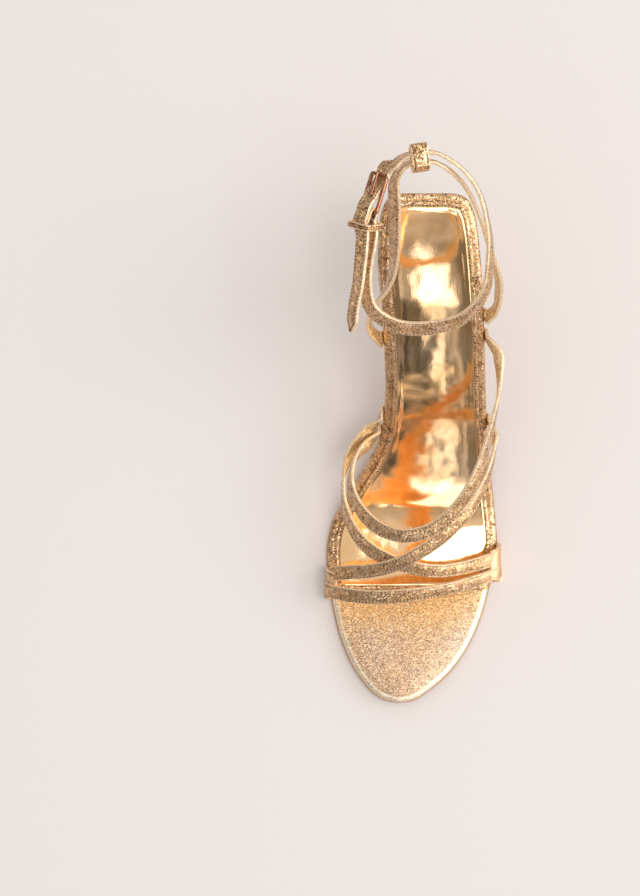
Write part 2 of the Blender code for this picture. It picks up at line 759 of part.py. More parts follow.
def ring_parts():
    """The ankle strap: folded round the buckle's bar, round the ankle, then through the buckle to its end."""
    fold = math.hypot(FRAME_WIRE, FRAME_THICK) / 2 + CLEARANCE + STRAP_END / 2
    back = [(BAR_AT + 0.0045, fold, 180, STRAP_END), (BAR_AT + 0.0015, fold, 180, STRAP_END)]
    for turned in (0, -30, -60, -90, -120, -150, -180):
        a = math.radians(turned)
        back.append((BAR_AT + fold * math.sin(a), fold * math.cos(a), turned + 180, STRAP_END))
    back.append((BAR_AT + 0.0020, -fold, 0, STRAP_END))
    back.append((BAR_AT + 0.0040, -fold, 0, STRAP))
    under = FRAME_THICK / 2 + CLEARANCE + STRAP / 2
    over = fold + STRAP_END / 2 + CLEARANCE + STRAP / 2
    through = [
        (-BAR_AT - 0.0030, -under, 0, STRAP),
        (-BAR_AT + 0.0008, -under, 0, STRAP),
        (0.0, (over - under) / 2, 0, STRAP),
        (BAR_AT - 0.0020, over, 0, STRAP),
        (BAR_AT + 0.0010, over, 0, STRAP),
        (BAR_AT + 0.0052, over, 0, STRAP),
    ]
    return [
        (by_buckle(back), 0),
        (round_ankle(RING), 52),
        (by_buckle(through), 12),
        (round_ankle(FREE_END), 16),
    ]


# The sole


def proud(along):
    """Inset of the outsole's edge from the board's: negative at the toe, where it stands out."""
    return np.interp(along, [0.30, 0.48], [-OUTSOLE_PROUD, OUTSOLE_SHY])


def build_outsole(surface):
    top = -BOARD - CLEARANCE
    rings = [
        (lambda along: proud(along) + SOLE_EDGE, top - OUTSOLE),
        (proud, top - OUTSOLE + SOLE_EDGE),
        (proud, top - SOLE_EDGE / 2),
        (lambda along: proud(along) + SOLE_EDGE, top),
    ]
    outsole = slab("outsole", 0, BREAST_AT, rings, 38, 3, surface=surface)
    combine(outsole, [pocket("pocket_" + name, *TUCKS[name]) for name in TUCKS], "DIFFERENCE")


def build_board(surface):
    rings = [
        (BOARD_ARRIS, -BOARD),
        (0.0, -BOARD + BOARD_ARRIS),
        (0.0, -BOARD_EDGE),
        (0.3 * BOARD_EDGE, -0.3 * BOARD_EDGE),
        (BOARD_EDGE, 0.0),
    ]
    slab("insole_board", 0, 1, rings, 44, 3, surface=surface)


def build_sock(surface):
    rings = [
        (SOCK_INSET + SOCK_ARRIS, CLEARANCE),
        (SOCK_INSET, CLEARANCE + SOCK_ARRIS),
        (SOCK_INSET + SOCK_ARRIS, CLEARANCE + 0.65 * SOCK),
        (SOCK_INSET + 3 * SOCK_ARRIS, CLEARANCE + SOCK),
    ]
    slab("sock", SOCK_FROM, 1, rings, 36, 4, crown=SOCK_CROWN, surface=surface)


# The heel


def reach_round(loop, middle, angles):
    """Distance from the middle to a closed outline on the floor plan, in each of the angles."""
    away = loop - middle
    found = []
    for angle in angles:
        way = np.array([math.sin(angle), math.cos(angle)])
        side = away @ np.array([way[1], -way[0]])
        ahead = away @ way
        best = 0.0
        for k in range(len(loop)):
            n = (k + 1) % len(loop)
            if side[k] * side[n] <= 0 and side[k] != side[n]:
                best = max(best, ahead[k] + side[k] / (side[k] - side[n]) * (ahead[n] - ahead[k]))
        found.append(best)
    return np.array(found)


def heel_plan():
    """The heel's angles, the middle and reach of its top, and the middle and reach of its tip."""
    angles = np.linspace(0, 2 * math.pi, 40, endpoint=False) + math.pi / 40
    inner, outer = outline(BREAST_AT, 1, HEEL_SHY, 60)
    ring = np.concatenate([inner, outer[::-1]])
    ring[:, 1] = np.maximum(ring[:, 1], place(BREAST_AT) + BREAST_GAP)
    middle = np.array([(inner[0, 0] + outer[0, 0]) / 2, place((BREAST_AT + 1) / 2)])
    tip = np.array([middle[0], place(1) - HEEL_TIP_FORWARD])
    wide = np.abs(np.sin(angles) / (TIP_WIDTH / 2)) ** TIP_SQUARENESS
    deep = np.abs(np.cos(angles) / (TIP_DEPTH / 2)) ** TIP_SQUARENESS
    return angles, middle, reach_round(ring, middle, angles), tip, (wide + deep) ** (-1 / TIP_SQUARENESS)


def build_heel(surface):
    angles, middle, top_reach, tip, tip_reach = heel_plan()
    ways = np.stack([np.sin(angles), np.cos(angles)], axis=1)
    level = np.full(len(angles), -BOARD - CLEARANCE)
    top_plan = middle + top_reach[:, None] * ways
    top = on_bed(top_plan[:, 0], top_plan[:, 1], level)
    points = []
    sections = smooth(HEEL_SECTIONS, 17, 1)
    for drop, centre, wide, narrow in sections:
        plan = tip + centre * (middle - tip) + (wide * top_reach + narrow * tip_reach)[:, None] * ways
        height = top[:, 2] * (1 - drop) + (TOP_PIECE + CLEARANCE) * drop
        shift = (top[:, 1] - top_plan[:, 1]) * max(0.0, 1 - 4 * drop)
        points.extend(np.stack([plan[:, 0], plan[:, 1] + shift, height], axis=1))
    half = middle + 0.5 * top_reach[:, None] * ways
    points.extend(on_bed(half[:, 0], half[:, 1], level))
    points.append(on_bed(middle[0], middle[1], level[0]))
    size = len(angles)
    last = (len(sections) - 1) * size
    faces = [tuple(last + j for j in range(size))[::-1]]
    for j in range(size):
        n = (j + 1) % size
        faces.append((j, n, last + size + n, last + size + j))
        faces.append((last + size + j, last + size + n, last + 2 * size))
        for k in range(len(sections) - 1):
            faces.append((k * size + j, (k + 1) * size + j, (k + 1) * size + n, k * size + n))
    body("heel", points, faces, surface)


def build_top_piece(surface):
    angles, _, _, tip, tip_reach = heel_plan()
    ways = np.stack([np.sin(angles), np.cos(angles)], axis=1)
    sections = []
    foot = 1 - 2 * TOP_PIECE_ARRIS / TIP_WIDTH
    for level, grown in ((0.0, foot), (TOP_PIECE_ARRIS, 1.0), (TOP_PIECE, 1.0)):
        plan = tip + grown * tip_reach[:, None] * ways
        sections.append(np.column_stack([plan, np.full(len(angles), level)]))
    loft("top_piece", sections, surface)


# The upper


def buried(thick, start, end):
    """Thins the ends that lie inside a joined end, so that their faces don't fall together."""
    run = np.linspace(0, 1, len(thick))
    first = BURIED if start else STRAP
    last = BURIED if end else STRAP
    return np.minimum(thick, np.interp(run, [0, 0.1, 0.9, 1], [first, STRAP, STRAP, last]))


def build_toe_straps(surface):
    """The bottom strap and the two that cross, joined to each other and to the wide ends at both sides."""
    joins = []
    for name, rows in (("inner_band", INNER_JOIN), ("outer_band", OUTER_JOIN)):
        path, facing, thick = strand([(tuck(*TUCKS[name])[::-1], 0), (on_foot(rows), 4)])
        count = len(path)
        narrow = np.interp(np.arange(count), [count - 6, count - 1], [1.0, JOIN_TAPER])
        joins.append(ribbon("join_" + name, path, facing, TUCKS[name][3] * narrow, thick))
    path, facing, thick = strand([(on_foot(CROSS_OVER), 30), (tuck(*TUCKS["over"]), 0)])
    joins.append(ribbon("cross_over", path, facing, STRAP_WIDTH, buried(thick, True, False)))
    path, facing, thick = strand([(tuck(*TUCKS["under"])[::-1], 0), (on_foot(CROSS_UNDER), 32)])
    joins.append(ribbon("cross_under", path, facing, STRAP_WIDTH, buried(thick, False, True)))
    path, facing, thick = strand([(on_foot(TOE_STRAP), 24)])
    toe = ribbon("toe_straps", path, facing, STRAP_WIDTH, buried(thick, True, True), surface)
    combine(toe, joins, "UNION")


def build_long_strap(name, rows, count, start, end, surface):
    """A strap with both its ends tucked under the board."""
    parts = [(tuck(*TUCKS[start])[::-1], 0), (rows, count), (tuck(*TUCKS[end]), 0)]
    path, facing, thick = strand(parts)
    ribbon(name, path, facing, STRAP_WIDTH, thick, surface)


def punch(name, spot, way, out):
    """A round cutter through a strap."""
    across = np.cross(way, out)
    turns = np.arange(8) * math.pi / 4
    disc = np.array([spot + HOLE / 2 * (math.cos(a) * way + math.sin(a) * across) for a in turns])
    return loft(name, [disc - STRAP * out, disc + STRAP * out])


def build_ankle_strap(surface):
    path, facing, thick = strand(ring_parts())
    left = np.linalg.norm(path - path[-1], axis=1)
    point = (np.arange(len(path)) > len(path) - 12) & (left < POINT_LENGTH)
    pointed = np.interp(left, [0, POINT_LENGTH], [POINT_TIP, STRAP_WIDTH])
    ankle = ribbon("ankle_strap", path, facing, np.where(point, pointed, STRAP_WIDTH), thick, surface)
    tangent, face, _ = frames(path, facing)
    gone = gone_along(path)
    cutters = [prong("prong_slot", PRONG / 2 + CLEARANCE)]
    for k in range(HOLES):
        at = gone[-1] - FIRST_HOLE - k * HOLE_STEP
        here = [np.interp(at, gone, column) for column in np.hstack([path, tangent, face]).T]
        cutters.append(punch(f"hole_{k}", *np.reshape(here, (3, 3))))
    combine(ankle, cutters, "DIFFERENCE")


def rounded_rectangle(half_a, half_b, corner):
    """Points round a rectangle with round corners, each with the way out there, in its own two directions."""
    made = []
    for a, b, first in ((1, 1, 0), (-1, 1, 90), (-1, -1, 180), (1, -1, 270)):
        for turn in np.radians(first + np.array([0, 30, 60, 90])):
            c = math.cos(turn)
            s = math.sin(turn)
            made.append((a * (half_a - corner) + corner * c, b * (half_b - corner) + corner * s, c, s))
    return np.array(made)


def prong(name, radius, surface=None):
    """The buckle's pin, curled round the bar and resting on the far side of the frame."""
    curl = math.hypot(FRAME_WIRE, FRAME_THICK) / 2 + CLEARANCE + PRONG / 2
    rest = FRAME_THICK / 2 + CLEARANCE + PRONG / 2
    turns = np.radians(np.linspace(-140, 90, 12))
    rows = [(BAR_AT + curl * math.cos(a), curl * math.sin(a), 0, PRONG) for a in turns]
    for t in np.linspace(0.15, 1, 6):
        rows.append((BAR_AT * (1 - 2 * t) - PRONG_PAST * t, curl + (rest - curl) * t, 0, PRONG))
    path = by_buckle(rows)[:, :3]
    tangent = unit(np.gradient(path, axis=0))
    across = np.broadcast_to(SIDEWAYS, tangent.shape)
    other = np.cross(tangent, across)
    path[0] -= tangent[0] * (radius - PRONG / 2)
    path[-1] += tangent[-1] * (radius - PRONG / 2)
    turns = np.arange(8) * math.pi / 4
    sections = np.stack([path + radius * (math.cos(a) * across + math.sin(a) * other) for a in turns], axis=1)
    return loft(name, sections, surface)


def build_buckle_frame(surface):
    track = rounded_rectangle(BAR_AT, (WINDOW + FRAME_WIRE) / 2, FRAME_CORNER)
    path = CENTRE + track[:, :1] * FORWARD + track[:, 1:2] * SIDEWAYS
    normals = np.broadcast_to(OUT, path.shape)
    ribbon("buckle_frame", path, normals, FRAME_WIRE, FRAME_THICK, surface, closed=True)


def build_strap_loop(surface):
    """The narrow loop beside the buckle, round the ring and the free end."""
    per_part = 160
    path, facing, _ = strand([(rows, per_part) for rows, _ in ring_parts()])
    away = np.linalg.norm(path - (CENTRE + (BAR_AT + LOOP_AHEAD) * FORWARD), axis=1)
    first = np.argmin(away[:2 * per_part])
    last = np.argmin(away[2 * per_part:]) + 2 * per_part
    ahead = unit(path[first + 1] - path[first - 1])
    middle = (path[first] + path[last]) / 2
    size = (LOOP_WIDTH, LOOP_WALL, 0.0)
    loop_round("strap_loop", middle, ahead, facing[last], [(path, facing)], size, surface)


def build_heel_keeper(surface):
    """The loop at the back, round the ring and the sling."""
    ring, ring_facing, _ = strand([(rows, 160) for rows, _ in ring_parts()])
    sling, sling_facing, _ = strand([(round_ankle(SLING), 500)])
    back = np.argmax(ring[:, 1] - 2 * np.abs(ring[:, 0] - KEEPER_ASIDE))
    ahead = unit((ring[back + 1] - ring[back - 1]) * np.array([1, 1, 0]))
    straps = [(ring, ring_facing), (sling, sling_facing)]
    size = (KEEPER_WIDTH, KEEPER_WALL, KEEPER_SLACK)
    loop_round("heel_keeper", ring[back], ahead, np.array([0, 1.0, 0]), straps, size, surface)


def main():
    for made in list(bpy.data.objects):
        bpy.data.objects.remove(made, do_unlink=True)

    strap_leather = material("gold_crackle_leather", (0.62, 0.42, 0.20), 0.85, 0.35)
    metal = material("rose_gold_metal", (0.72, 0.45, 0.32), 1.0, 0.22)

    build_outsole(material("tan_outsole", (0.72, 0.50, 0.30), 0.0, 0.50))
    build_board(material("champagne_leather", (0.74, 0.58, 0.40), 0.80, 0.42))
    build_sock(material("mirror_gold_sock", (0.78, 0.60, 0.36), 1.0, 0.10))
    build_heel(material("gold_heel_cover", (0.62, 0.42, 0.20), 0.85, 0.35))
    build_top_piece(material("beige_top_piece", (0.52, 0.40, 0.28), 0.0, 0.60))
    build_toe_straps(strap_leather)
    build_long_strap("instep_strap", on_foot(INSTEP_STRAP), 38, "instep_inner", "instep_outer", strap_leather)
    build_long_strap("rear_sling", round_ankle(SLING), 46, "sling_outer", "sling_inner", strap_leather)
    build_ankle_strap(strap_leather)
    build_buckle_frame(metal)
    prong("buckle_prong", PRONG / 2, metal)
    build_strap_loop(strap_leather)
    build_heel_keeper(strap_leather)


main()
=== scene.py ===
"""Strappy high-heeled sandal: gold straps, mirror sock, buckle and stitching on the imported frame."""

import math

import bmesh
import bpy
import numpy as np
from bpy.props import FloatProperty, FloatVectorProperty, PointerProperty
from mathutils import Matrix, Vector


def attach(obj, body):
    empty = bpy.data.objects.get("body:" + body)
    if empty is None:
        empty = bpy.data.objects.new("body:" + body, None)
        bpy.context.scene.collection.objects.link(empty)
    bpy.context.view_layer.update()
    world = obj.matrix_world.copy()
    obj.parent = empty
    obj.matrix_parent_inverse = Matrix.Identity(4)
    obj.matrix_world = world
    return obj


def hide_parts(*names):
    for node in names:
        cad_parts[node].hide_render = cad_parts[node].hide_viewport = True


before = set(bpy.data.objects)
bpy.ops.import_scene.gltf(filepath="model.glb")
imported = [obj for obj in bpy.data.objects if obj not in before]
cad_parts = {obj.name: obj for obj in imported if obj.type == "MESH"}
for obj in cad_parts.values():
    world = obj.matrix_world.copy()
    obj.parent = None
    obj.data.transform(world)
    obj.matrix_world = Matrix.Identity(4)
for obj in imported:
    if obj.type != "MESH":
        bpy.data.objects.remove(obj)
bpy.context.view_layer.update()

bl_info = {
    "name": "Strappy Heeled Sandal",
    "version": (1, 0, 0),
    "blender": (4, 5, 0),
    "location": "3D View > Sidebar > Sandal",
    "description": "Builds the pieces, finishes and stage of a strappy heeled sandal",
    "category": "Object",
}


LENGTH = 0.231  # toe tip to back of the seat, measured level
BALL_AT = 0.30  # where the ball lies, as a share of LENGTH from the toe tip
BALL_WIDTH = 0.080
HEEL_HEIGHT = 0.095  # floor to the top of the board at its back
TOE_SPRING = 0.003
INSTEP = 0.050  # unit for heights of the front straps above the board
COLLAR = 0.060  # seat to ankle ring
ANKLE_REACH = 0.036  # half depth of the ankle ring
ANKLE_AT = 0.887  # ankle's upright axis, as a share of LENGTH from the toe tip

OUTSOLE = 0.0030
OUTSOLE_PROUD = 0.0007  # how far the outsole stands out beyond the board at the toe
OUTSOLE_SHY = 0.0008  # how far it stays inside the board at the waist
BOARD = 0.0035
BOARD_ARRIS = 0.0005  # softening of the board's lower edge
SOLE_EDGE = 0.0006  # softening of the outsole's edges
SOCK = 0.0015
SOCK_ARRIS = 0.0003  # softening of the sock's edges
SOCK_CROWN = 0.0009  # how much the padding rises in the middle
SOCK_INSET = 0.0033
SOCK_FROM = 0.2155  # front edge of the sock, as a share of LENGTH
BREAST_AT = 0.80  # front of the heel
HEEL_TIP_FORWARD = 0.018  # centre of the heel's tip, from the back of the seat
TIP_WIDTH = 0.0095
TIP_DEPTH = 0.0100
TIP_SQUARENESS = 3.2  # 2 would be round
TOP_PIECE_ARRIS = 0.0006
HEEL_SHY = 0.0004  # how far the heel's top stays inside the board's edge
BREAST_GAP = 0.0016  # room between the outsole's end and the heel
TOP_PIECE = 0.0060

STRAP = 0.0016
STRAP_WIDTH = 0.0068
STRAP_END = 0.0010  # thickness of a strap's end where it is pared to go under the board
TUCK_IN = 0.0065  # how far an end goes in under the board
INNER_BAND = 0.0160  # width of the joined end of the toe straps on the inner side
OUTER_BAND = 0.0185
JOIN_TAPER = 0.72  # a joined end's upper width, as a share of its lower width
POINT_LENGTH = 0.0048  # length of the free end's point
POINT_TIP = 0.0020  # width of its blunt tip
CLEARANCE = 0.0003

FRAME_LENGTH = 0.0170
FRAME_WIRE = 0.0014
FRAME_THICK = 0.0016
FRAME_CORNER = 0.0014
PRONG_PAST = 0.0010  # how far the pin reaches past the frame's far side
PRONG = 0.0012
HOLE = 0.0016
HOLE_STEP = 0.0065
HOLES = 5
FIRST_HOLE = 0.0125  # from the free end's tip
LOOP_WIDTH = 0.0028
LOOP_WALL = 0.0010
KEEPER_WIDTH = 0.0073
KEEPER_WALL = 0.0012
KEEPER_SLACK = 0.0003  # how far the keeper stands off behind the ring
KEEPER_ASIDE = -0.0044  # keeper's middle, from the shoe's middle line
LOOP_AHEAD = 0.0072  # narrow loop's middle, from the buckle's bar

STACK = OUTSOLE + CLEARANCE + BOARD

# along, rise, spring: the board's top line, as shares of LENGTH, of the climb to the seat and of TOE_SPRING
PROFILE = [
    (0.00, 0.000, 1.00),
    (0.10, 0.000, 0.33),
    (0.20, 0.000, 0.00),
    (0.35, 0.000, 0.00),
    (0.40, 0.018, 0.00),
    (0.44, 0.062, 0.00),
    (0.50, 0.158, 0.00),
    (0.56, 0.286, 0.00),
    (0.62, 0.427, 0.00),
    (0.68, 0.569, 0.00),
    (0.74, 0.700, 0.00),
    (0.80, 0.813, 0.00),
    (0.86, 0.892, 0.00),
    (0.92, 0.949, 0.00),
    (1.00, 1.000, 0.00),
]

# along, across: the board's outline from toe tip to seat back, as shares of LENGTH and of BALL_WIDTH
INNER_SIDE = [
    (0.000, -0.100),
    (0.012, -0.202),
    (0.054, -0.320),
    (0.117, -0.414),
    (0.184, -0.468),
    (0.260, -0.503),
    (0.322, -0.509),
    (0.373, -0.476),
    (0.414, -0.403),
    (0.455, -0.330),
    (0.496, -0.258),
    (0.536, -0.211),
    (0.596, -0.186),
    (0.692, -0.193),
    (0.785, -0.215),
    (0.859, -0.238),
    (0.932, -0.234),
    (0.969, -0.219),
    (0.990, -0.185),
    (0.999, -0.110),
    (1.000, 0.053),
]
OUTER_SIDE = [
    (0.000, -0.100),
    (0.005, -0.013),
    (0.026, 0.087),
    (0.066, 0.217),
    (0.107, 0.304),
    (0.168, 0.387),
    (0.229, 0.438),
    (0.281, 0.473),
    (0.332, 0.491),
    (0.370, 0.484),
    (0.455, 0.452),
    (0.536, 0.419),
    (0.615, 0.393),
    (0.711, 0.370),
    (0.804, 0.347),
    (0.896, 0.320),
    (0.932, 0.306),
    (0.967, 0.282),
    (0.989, 0.247),
    (0.999, 0.170),
    (1.000, 0.053),
]

# along, axis, half, widest, rise: the foot's cross-sections above the board. Axis and half are shares of
# BALL_WIDTH, widest and rise are shares of INSTEP.
LAST = [
    (0.15, -0.03, 0.450, 0.08, 0.25),
    (0.23, -0.02, 0.515, 0.10, 0.37),
    (0.26, -0.01, 0.525, 0.12, 0.45),
    (0.30, 0.00, 0.515, 0.14, 0.54),
    (0.35, 0.00, 0.500, 0.16, 0.64),
    (0.40, 0.00, 0.475, 0.18, 0.70),
    (0.45, 0.00, 0.455, 0.20, 0.75),
    (0.50, 0.01, 0.445, 0.22, 0.80),
    (0.60, 0.03, 0.430, 0.28, 0.90),
    (0.70, 0.04, 0.420, 0.35, 1.00),
    (0.80, 0.05, 0.400, 0.40, 1.10),
]

# drop, centre, top, tip: the heel's sections from its top down. Centre runs from the tip's centre (0) to the
# top's centre (1); top and tip say how much of the top's outline and of the tip's outline make the section.
HEEL_SECTIONS = [
    (0.00, 1.00, 1.000, 0.00),
    (0.04, 0.95, 0.885, 0.04),
    (0.09, 0.84, 0.720, 0.13),
    (0.16, 0.68, 0.530, 0.28),
    (0.26, 0.50, 0.340, 0.50),
    (0.40, 0.30, 0.190, 0.74),
    (0.60, 0.13, 0.080, 0.92),
    (0.80, 0.04, 0.025, 0.99),
    (1.00, 0.00, 0.000, 1.00),
]

# along, across, up, lift: centre lines of the front straps, as shares of LENGTH, BALL_WIDTH, INSTEP and STRAP
TOE_STRAP = [
    (0.2330, -0.515, 0.150, 0.0),
    (0.2290, -0.469, 0.243, 0.0),
    (0.2240, -0.382, 0.342, 0.0),
    (0.2215, -0.266, 0.422, 0.0),
    (0.2235, -0.093, 0.472, 0.0),
    (0.2300, 0.051, 0.473, 0.0),
    (0.2390, 0.198, 0.413, 0.0),
    (0.2490, 0.318, 0.313, 0.0),
    (0.2580, 0.412, 0.208, 0.0),
    (0.2680, 0.482, 0.120, 0.0),
]
CROSS_OVER = [
    (0.2600, -0.500, 0.150, 0.0),
    (0.2660, -0.460, 0.263, 0.0),
    (0.2710, -0.382, 0.383, 0.1),
    (0.2760, -0.267, 0.484, 0.6),
    (0.2870, -0.153, 0.584, 0.9),
    (0.3000, -0.068, 0.654, 0.9),
    (0.3160, 0.016, 0.701, 0.6),
    (0.3340, 0.101, 0.737, 0.2),
    (0.3580, 0.185, 0.762, 0.0),
    (0.3880, 0.271, 0.747, 0.0),
    (0.4180, 0.333, 0.695, 0.0),
    (0.4510, 0.386, 0.602, 0.0),
    (0.4870, 0.424, 0.449, 0.0),
    (0.5220, 0.446, 0.284, 0.0),
    (0.5460, 0.450, 0.150, 0.0),
]
CROSS_UNDER = [
    (0.5600, -0.262, 0.010, 0.0),
    (0.5360, -0.330, 0.060, 0.0),
    (0.5000, -0.390, 0.125, 0.0),
    (0.4560, -0.420, 0.218, 0.0),
    (0.4160, -0.417, 0.298, 0.0),
    (0.3760, -0.388, 0.389, 0.0),
    (0.3420, -0.336, 0.456, 0.0),
    (0.3180, -0.268, 0.520, 0.0),
    (0.3010, -0.182, 0.584, 0.0),
    (0.2890, -0.096, 0.614, 0.0),
    (0.2790, 0.019, 0.604, 0.0),
    (0.2750, 0.136, 0.543, 0.0),
    (0.2790, 0.255, 0.444, 0.0),
    (0.2880, 0.378, 0.300, 0.0),
    (0.2970, 0.475, 0.150, 0.0),
]
INSTEP_STRAP = [
    (0.5300, -0.272, 0.080, 0.0),
    (0.5080, -0.335, 0.200, 0.0),
    (0.4800, -0.372, 0.330, 0.0),
    (0.4530, -0.381, 0.448, 0.0),
    (0.4270, -0.367, 0.542, 0.0),
    (0.3930, -0.316, 0.649, 0.0),
    (0.3640, -0.225, 0.731, 0.2),
    (0.3490, -0.100, 0.784, 0.4),
    (0.3560, 0.043, 0.813, 0.5),
    (0.3810, 0.156, 0.838, 0.5),
    (0.4160, 0.240, 0.845, 0.5),
    (0.4540, 0.307, 0.821, 0.3),
    (0.4970, 0.362, 0.719, 0.0),
    (0.5360, 0.393, 0.632, 0.0),
    (0.5850, 0.423, 0.497, 0.0),
    (0.6230, 0.442, 0.386, 0.0),
    (0.6710, 0.447, 0.246, 0.0),
    (0.7050, 0.436, 0.130, 0.0),
]

# along, across, up: centre lines of the joined ends of the toe straps
INNER_JOIN = [
    (0.2450, -0.520, 0.100),
    (0.2440, -0.500, 0.200),
    (0.2430, -0.462, 0.262),
]
OUTER_JOIN = [
    (0.2860, 0.500, 0.060),
    (0.2840, 0.485, 0.140),
    (0.2820, 0.440, 0.205),
]

# side, along, slant, width: where each strap's end meets the board's edge. Side is -1 for the inner one.
# Slant is how far the end heads back for each unit inwards.
TUCKS = {
    "inner_band": (-1, 0.244, 0.0, INNER_BAND),
    "outer_band": (1, 0.286, 0.0, OUTER_BAND),
    "over": (1, 0.566, 0.25, STRAP_WIDTH),
    "under": (-1, 0.580, 0.25, STRAP_WIDTH),
    "instep_inner": (-1, 0.545, 0.25, STRAP_WIDTH),
    "instep_outer": (1, 0.730, 0.2, STRAP_WIDTH),
    "sling_outer": (1, 0.768, -0.1, STRAP_WIDTH),
    "sling_inner": (-1, 0.726, -0.25, STRAP_WIDTH),
}

# turn, reach, rise, lean: centre lines round the ankle. Turn is in degrees from straight back towards the
# outer side, reach a share of ANKLE_REACH, rise a share of COLLAR above the seat's back, lean the tilt of the
# outer face above level, in degrees.
SLING = [
    (127, 1.13, -0.34, -30),
    (122, 1.10, -0.23, -34),
    (115.5, 1.04, -0.10, -29),
    (109, 0.97, 0.03, -20),
    (101, 0.88, 0.17, -10),
    (90, 0.79, 0.30, 0),
    (75, 0.73, 0.45, 8),
    (57, 0.72, 0.60, 14),
    (41, 0.76, 0.73, 18),
    (27, 0.81, 0.85, 18),
    (15, 0.86, 0.93, 15),
    (5, 0.90, 0.97, 12),
    (-8, 0.925, 0.98, 14),
    (-17, 0.90, 0.96, 20),
    (-25, 0.84, 0.92, 30),
    (-31, 0.75, 0.87, 42),
    (-37, 0.63, 0.80, 48),
    (-52, 0.47, 0.68, 48),
    (-78, 0.37, 0.55, 46),
    (-107, 0.38, 0.42, 42),
    (-127, 0.48, 0.28, 34),
    (-135, 0.62, 0.15, 20),
    (-137, 0.77, 0.02, 0),
    (-139, 0.91, -0.12, -22),
    (-142, 1.03, -0.25, -30),
    (-147, 1.10, -0.35, -26),
]
RING = [
    (-79, 0.66, 0.89, 46),
    (-92, 0.66, 0.86, 44),
    (-105, 0.71, 0.81, 42),
    (-119, 0.81, 0.75, 42),
    (-138, 0.97, 0.65, 46),
    (-159, 0.99, 0.57, 50),
    (-184, 0.95, 0.57, 50),
    (-209, 0.94, 0.62, 42),
    (-230, 0.87, 0.72, 32),
    (-255, 0.74, 0.82, 24),
    (-273, 0.71, 0.86, 18),
    (-291, 0.72, 0.90, 14),
    (-308, 0.78, 0.93, 12),
    (-322, 0.84, 0.97, 10),
    (-334, 0.90, 0.99, 10),
    (-345, 0.95, 1.01, 10),
    (-356, 1.00, 1.02, 10),
    (-367, 1.00, 1.02, 14),
    (-377, 0.99, 1.01, 24),
    (-386, 0.95, 0.99, 38),
]
FREE_END = [
    (-80, 0.770, 0.955, 48),
    (-94, 0.760, 0.920, 45),
    (-108, 0.815, 0.880, 42),
    (-120, 0.920, 0.830, 40),
    (-130, 1.100, 0.770, 38),
    (-139, 1.330, 0.700, 36),
]

# The buckle's place in the same terms, and the way it points: heading is its turn from straight ahead towards
# the inner side, droop its dip towards the toe, lean the tilt of its face above level.
BUCKLE_TURN = -48
BUCKLE_REACH = 0.83
BUCKLE_RISE = 0.95
BUCKLE_HEADING = 17
BUCKLE_DROOP = 12
BUCKLE_LEAN = 50

FOIL_CELLS = 1700.0  # cells of the crackled foil, in each metre
TOE_CELLS = 2300.0  # cells of the toe leather's grain, in each metre
CELL_LEAN = 0.42  # how far the cells of both tip the surface's facing
WIRE_OUT = 0.00015  # how far the frame's wire stands out from its track
RIM_ROUND = 0.0020  # radius of the board's upper edge, with its leather on
HOLE_PITCH = 0.0016  # from needle hole to needle hole
STITCH_INSET = 0.0010  # from a strap's edge to its sewing line
SEAM_LEVEL = 0.86  # height of a strap's stitches, as a share of half its thickness
UNPARED = 0.97  # a strap is sewn where it has more than this share of its full thickness
SOCK_STITCH = 0.0020  # from the sock's edge to its sewing line
SOCK_EASE = 0.009  # from the sock's ends to where its padding has its full rise
TOE_DOME = 0.0006  # how much the board's leather rises in the middle under the toes
TOE_DOME_REACH = 0.020  # from the sock's front to where it has that rise
WIRE_ROUNDNESS = 0.55  # power that squares the section of the frame's wire; 1 would be round
SAME_POINT = 2e-6  # points nearer to each other than this are one
SHARP_FROM = 50.0  # degrees between faces from which their edge is shaded sharp
FLOOR_HALF = 2.5

# along, across, length, width, depth: dents in the sock's padding. Along and across are shares of LENGTH
# and of BALL_WIDTH, the others are in metres.
DENTS = [
    (0.33, -0.20, 0.012, 0.016, 0.00040),
    (0.36, 0.18, 0.014, 0.018, 0.00045),
    (0.44, 0.05, 0.014, 0.022, 0.00035),
    (0.52, 0.16, 0.016, 0.010, 0.00030),
    (0.60, -0.04, 0.020, 0.012, 0.00040),
    (0.93, 0.12, 0.010, 0.010, 0.00030),
]


# Numbers and the foot's bed


def between(t, width, values, slope, k):
    """The curve with the given slopes through values k and k + 1, at share t of the way."""
    start = (2 * t**3 - 3 * t**2 + 1) * values[k] + (t**3 - 2 * t**2 + t) * width * slope[k]
    return start + (3 * t**2 - 2 * t**3) * values[k + 1] + (t**3 - t**2) * width * slope[k + 1]


def monotone(table, column, at):
    """Reads one column of a table by its first, without overshoot and exactly level between equal rows."""
    table = np.array(table, float)
    x, y = table[:, 0], table[:, column]
    step = np.diff(y) / np.diff(x)
    same = step[:-1] * step[1:] > 0
    middle = np.zeros(len(step) - 1)
    middle[same] = 2 * step[:-1][same] * step[1:][same] / (step[:-1][same] + step[1:][same])
    slope = np.concatenate([step[:1], middle, step[-1:]])
    at = np.clip(np.asarray(at, float), x[0], x[-1])
    k = np.clip(np.searchsorted(x, at, "right") - 1, 0, len(x) - 2)
    width = x[k + 1] - x[k]
    return between((at - x[k]) / width, width, y, slope, k)


def gone_along(points):
    """Distance from the first point to each, along the corners."""
    return np.concatenate([[0], np.cumsum(np.linalg.norm(np.diff(points, axis=0), axis=1))])


def share_along(points):
    """The same, as shares of the whole way."""
    return gone_along(points) / gone_along(points)[-1]


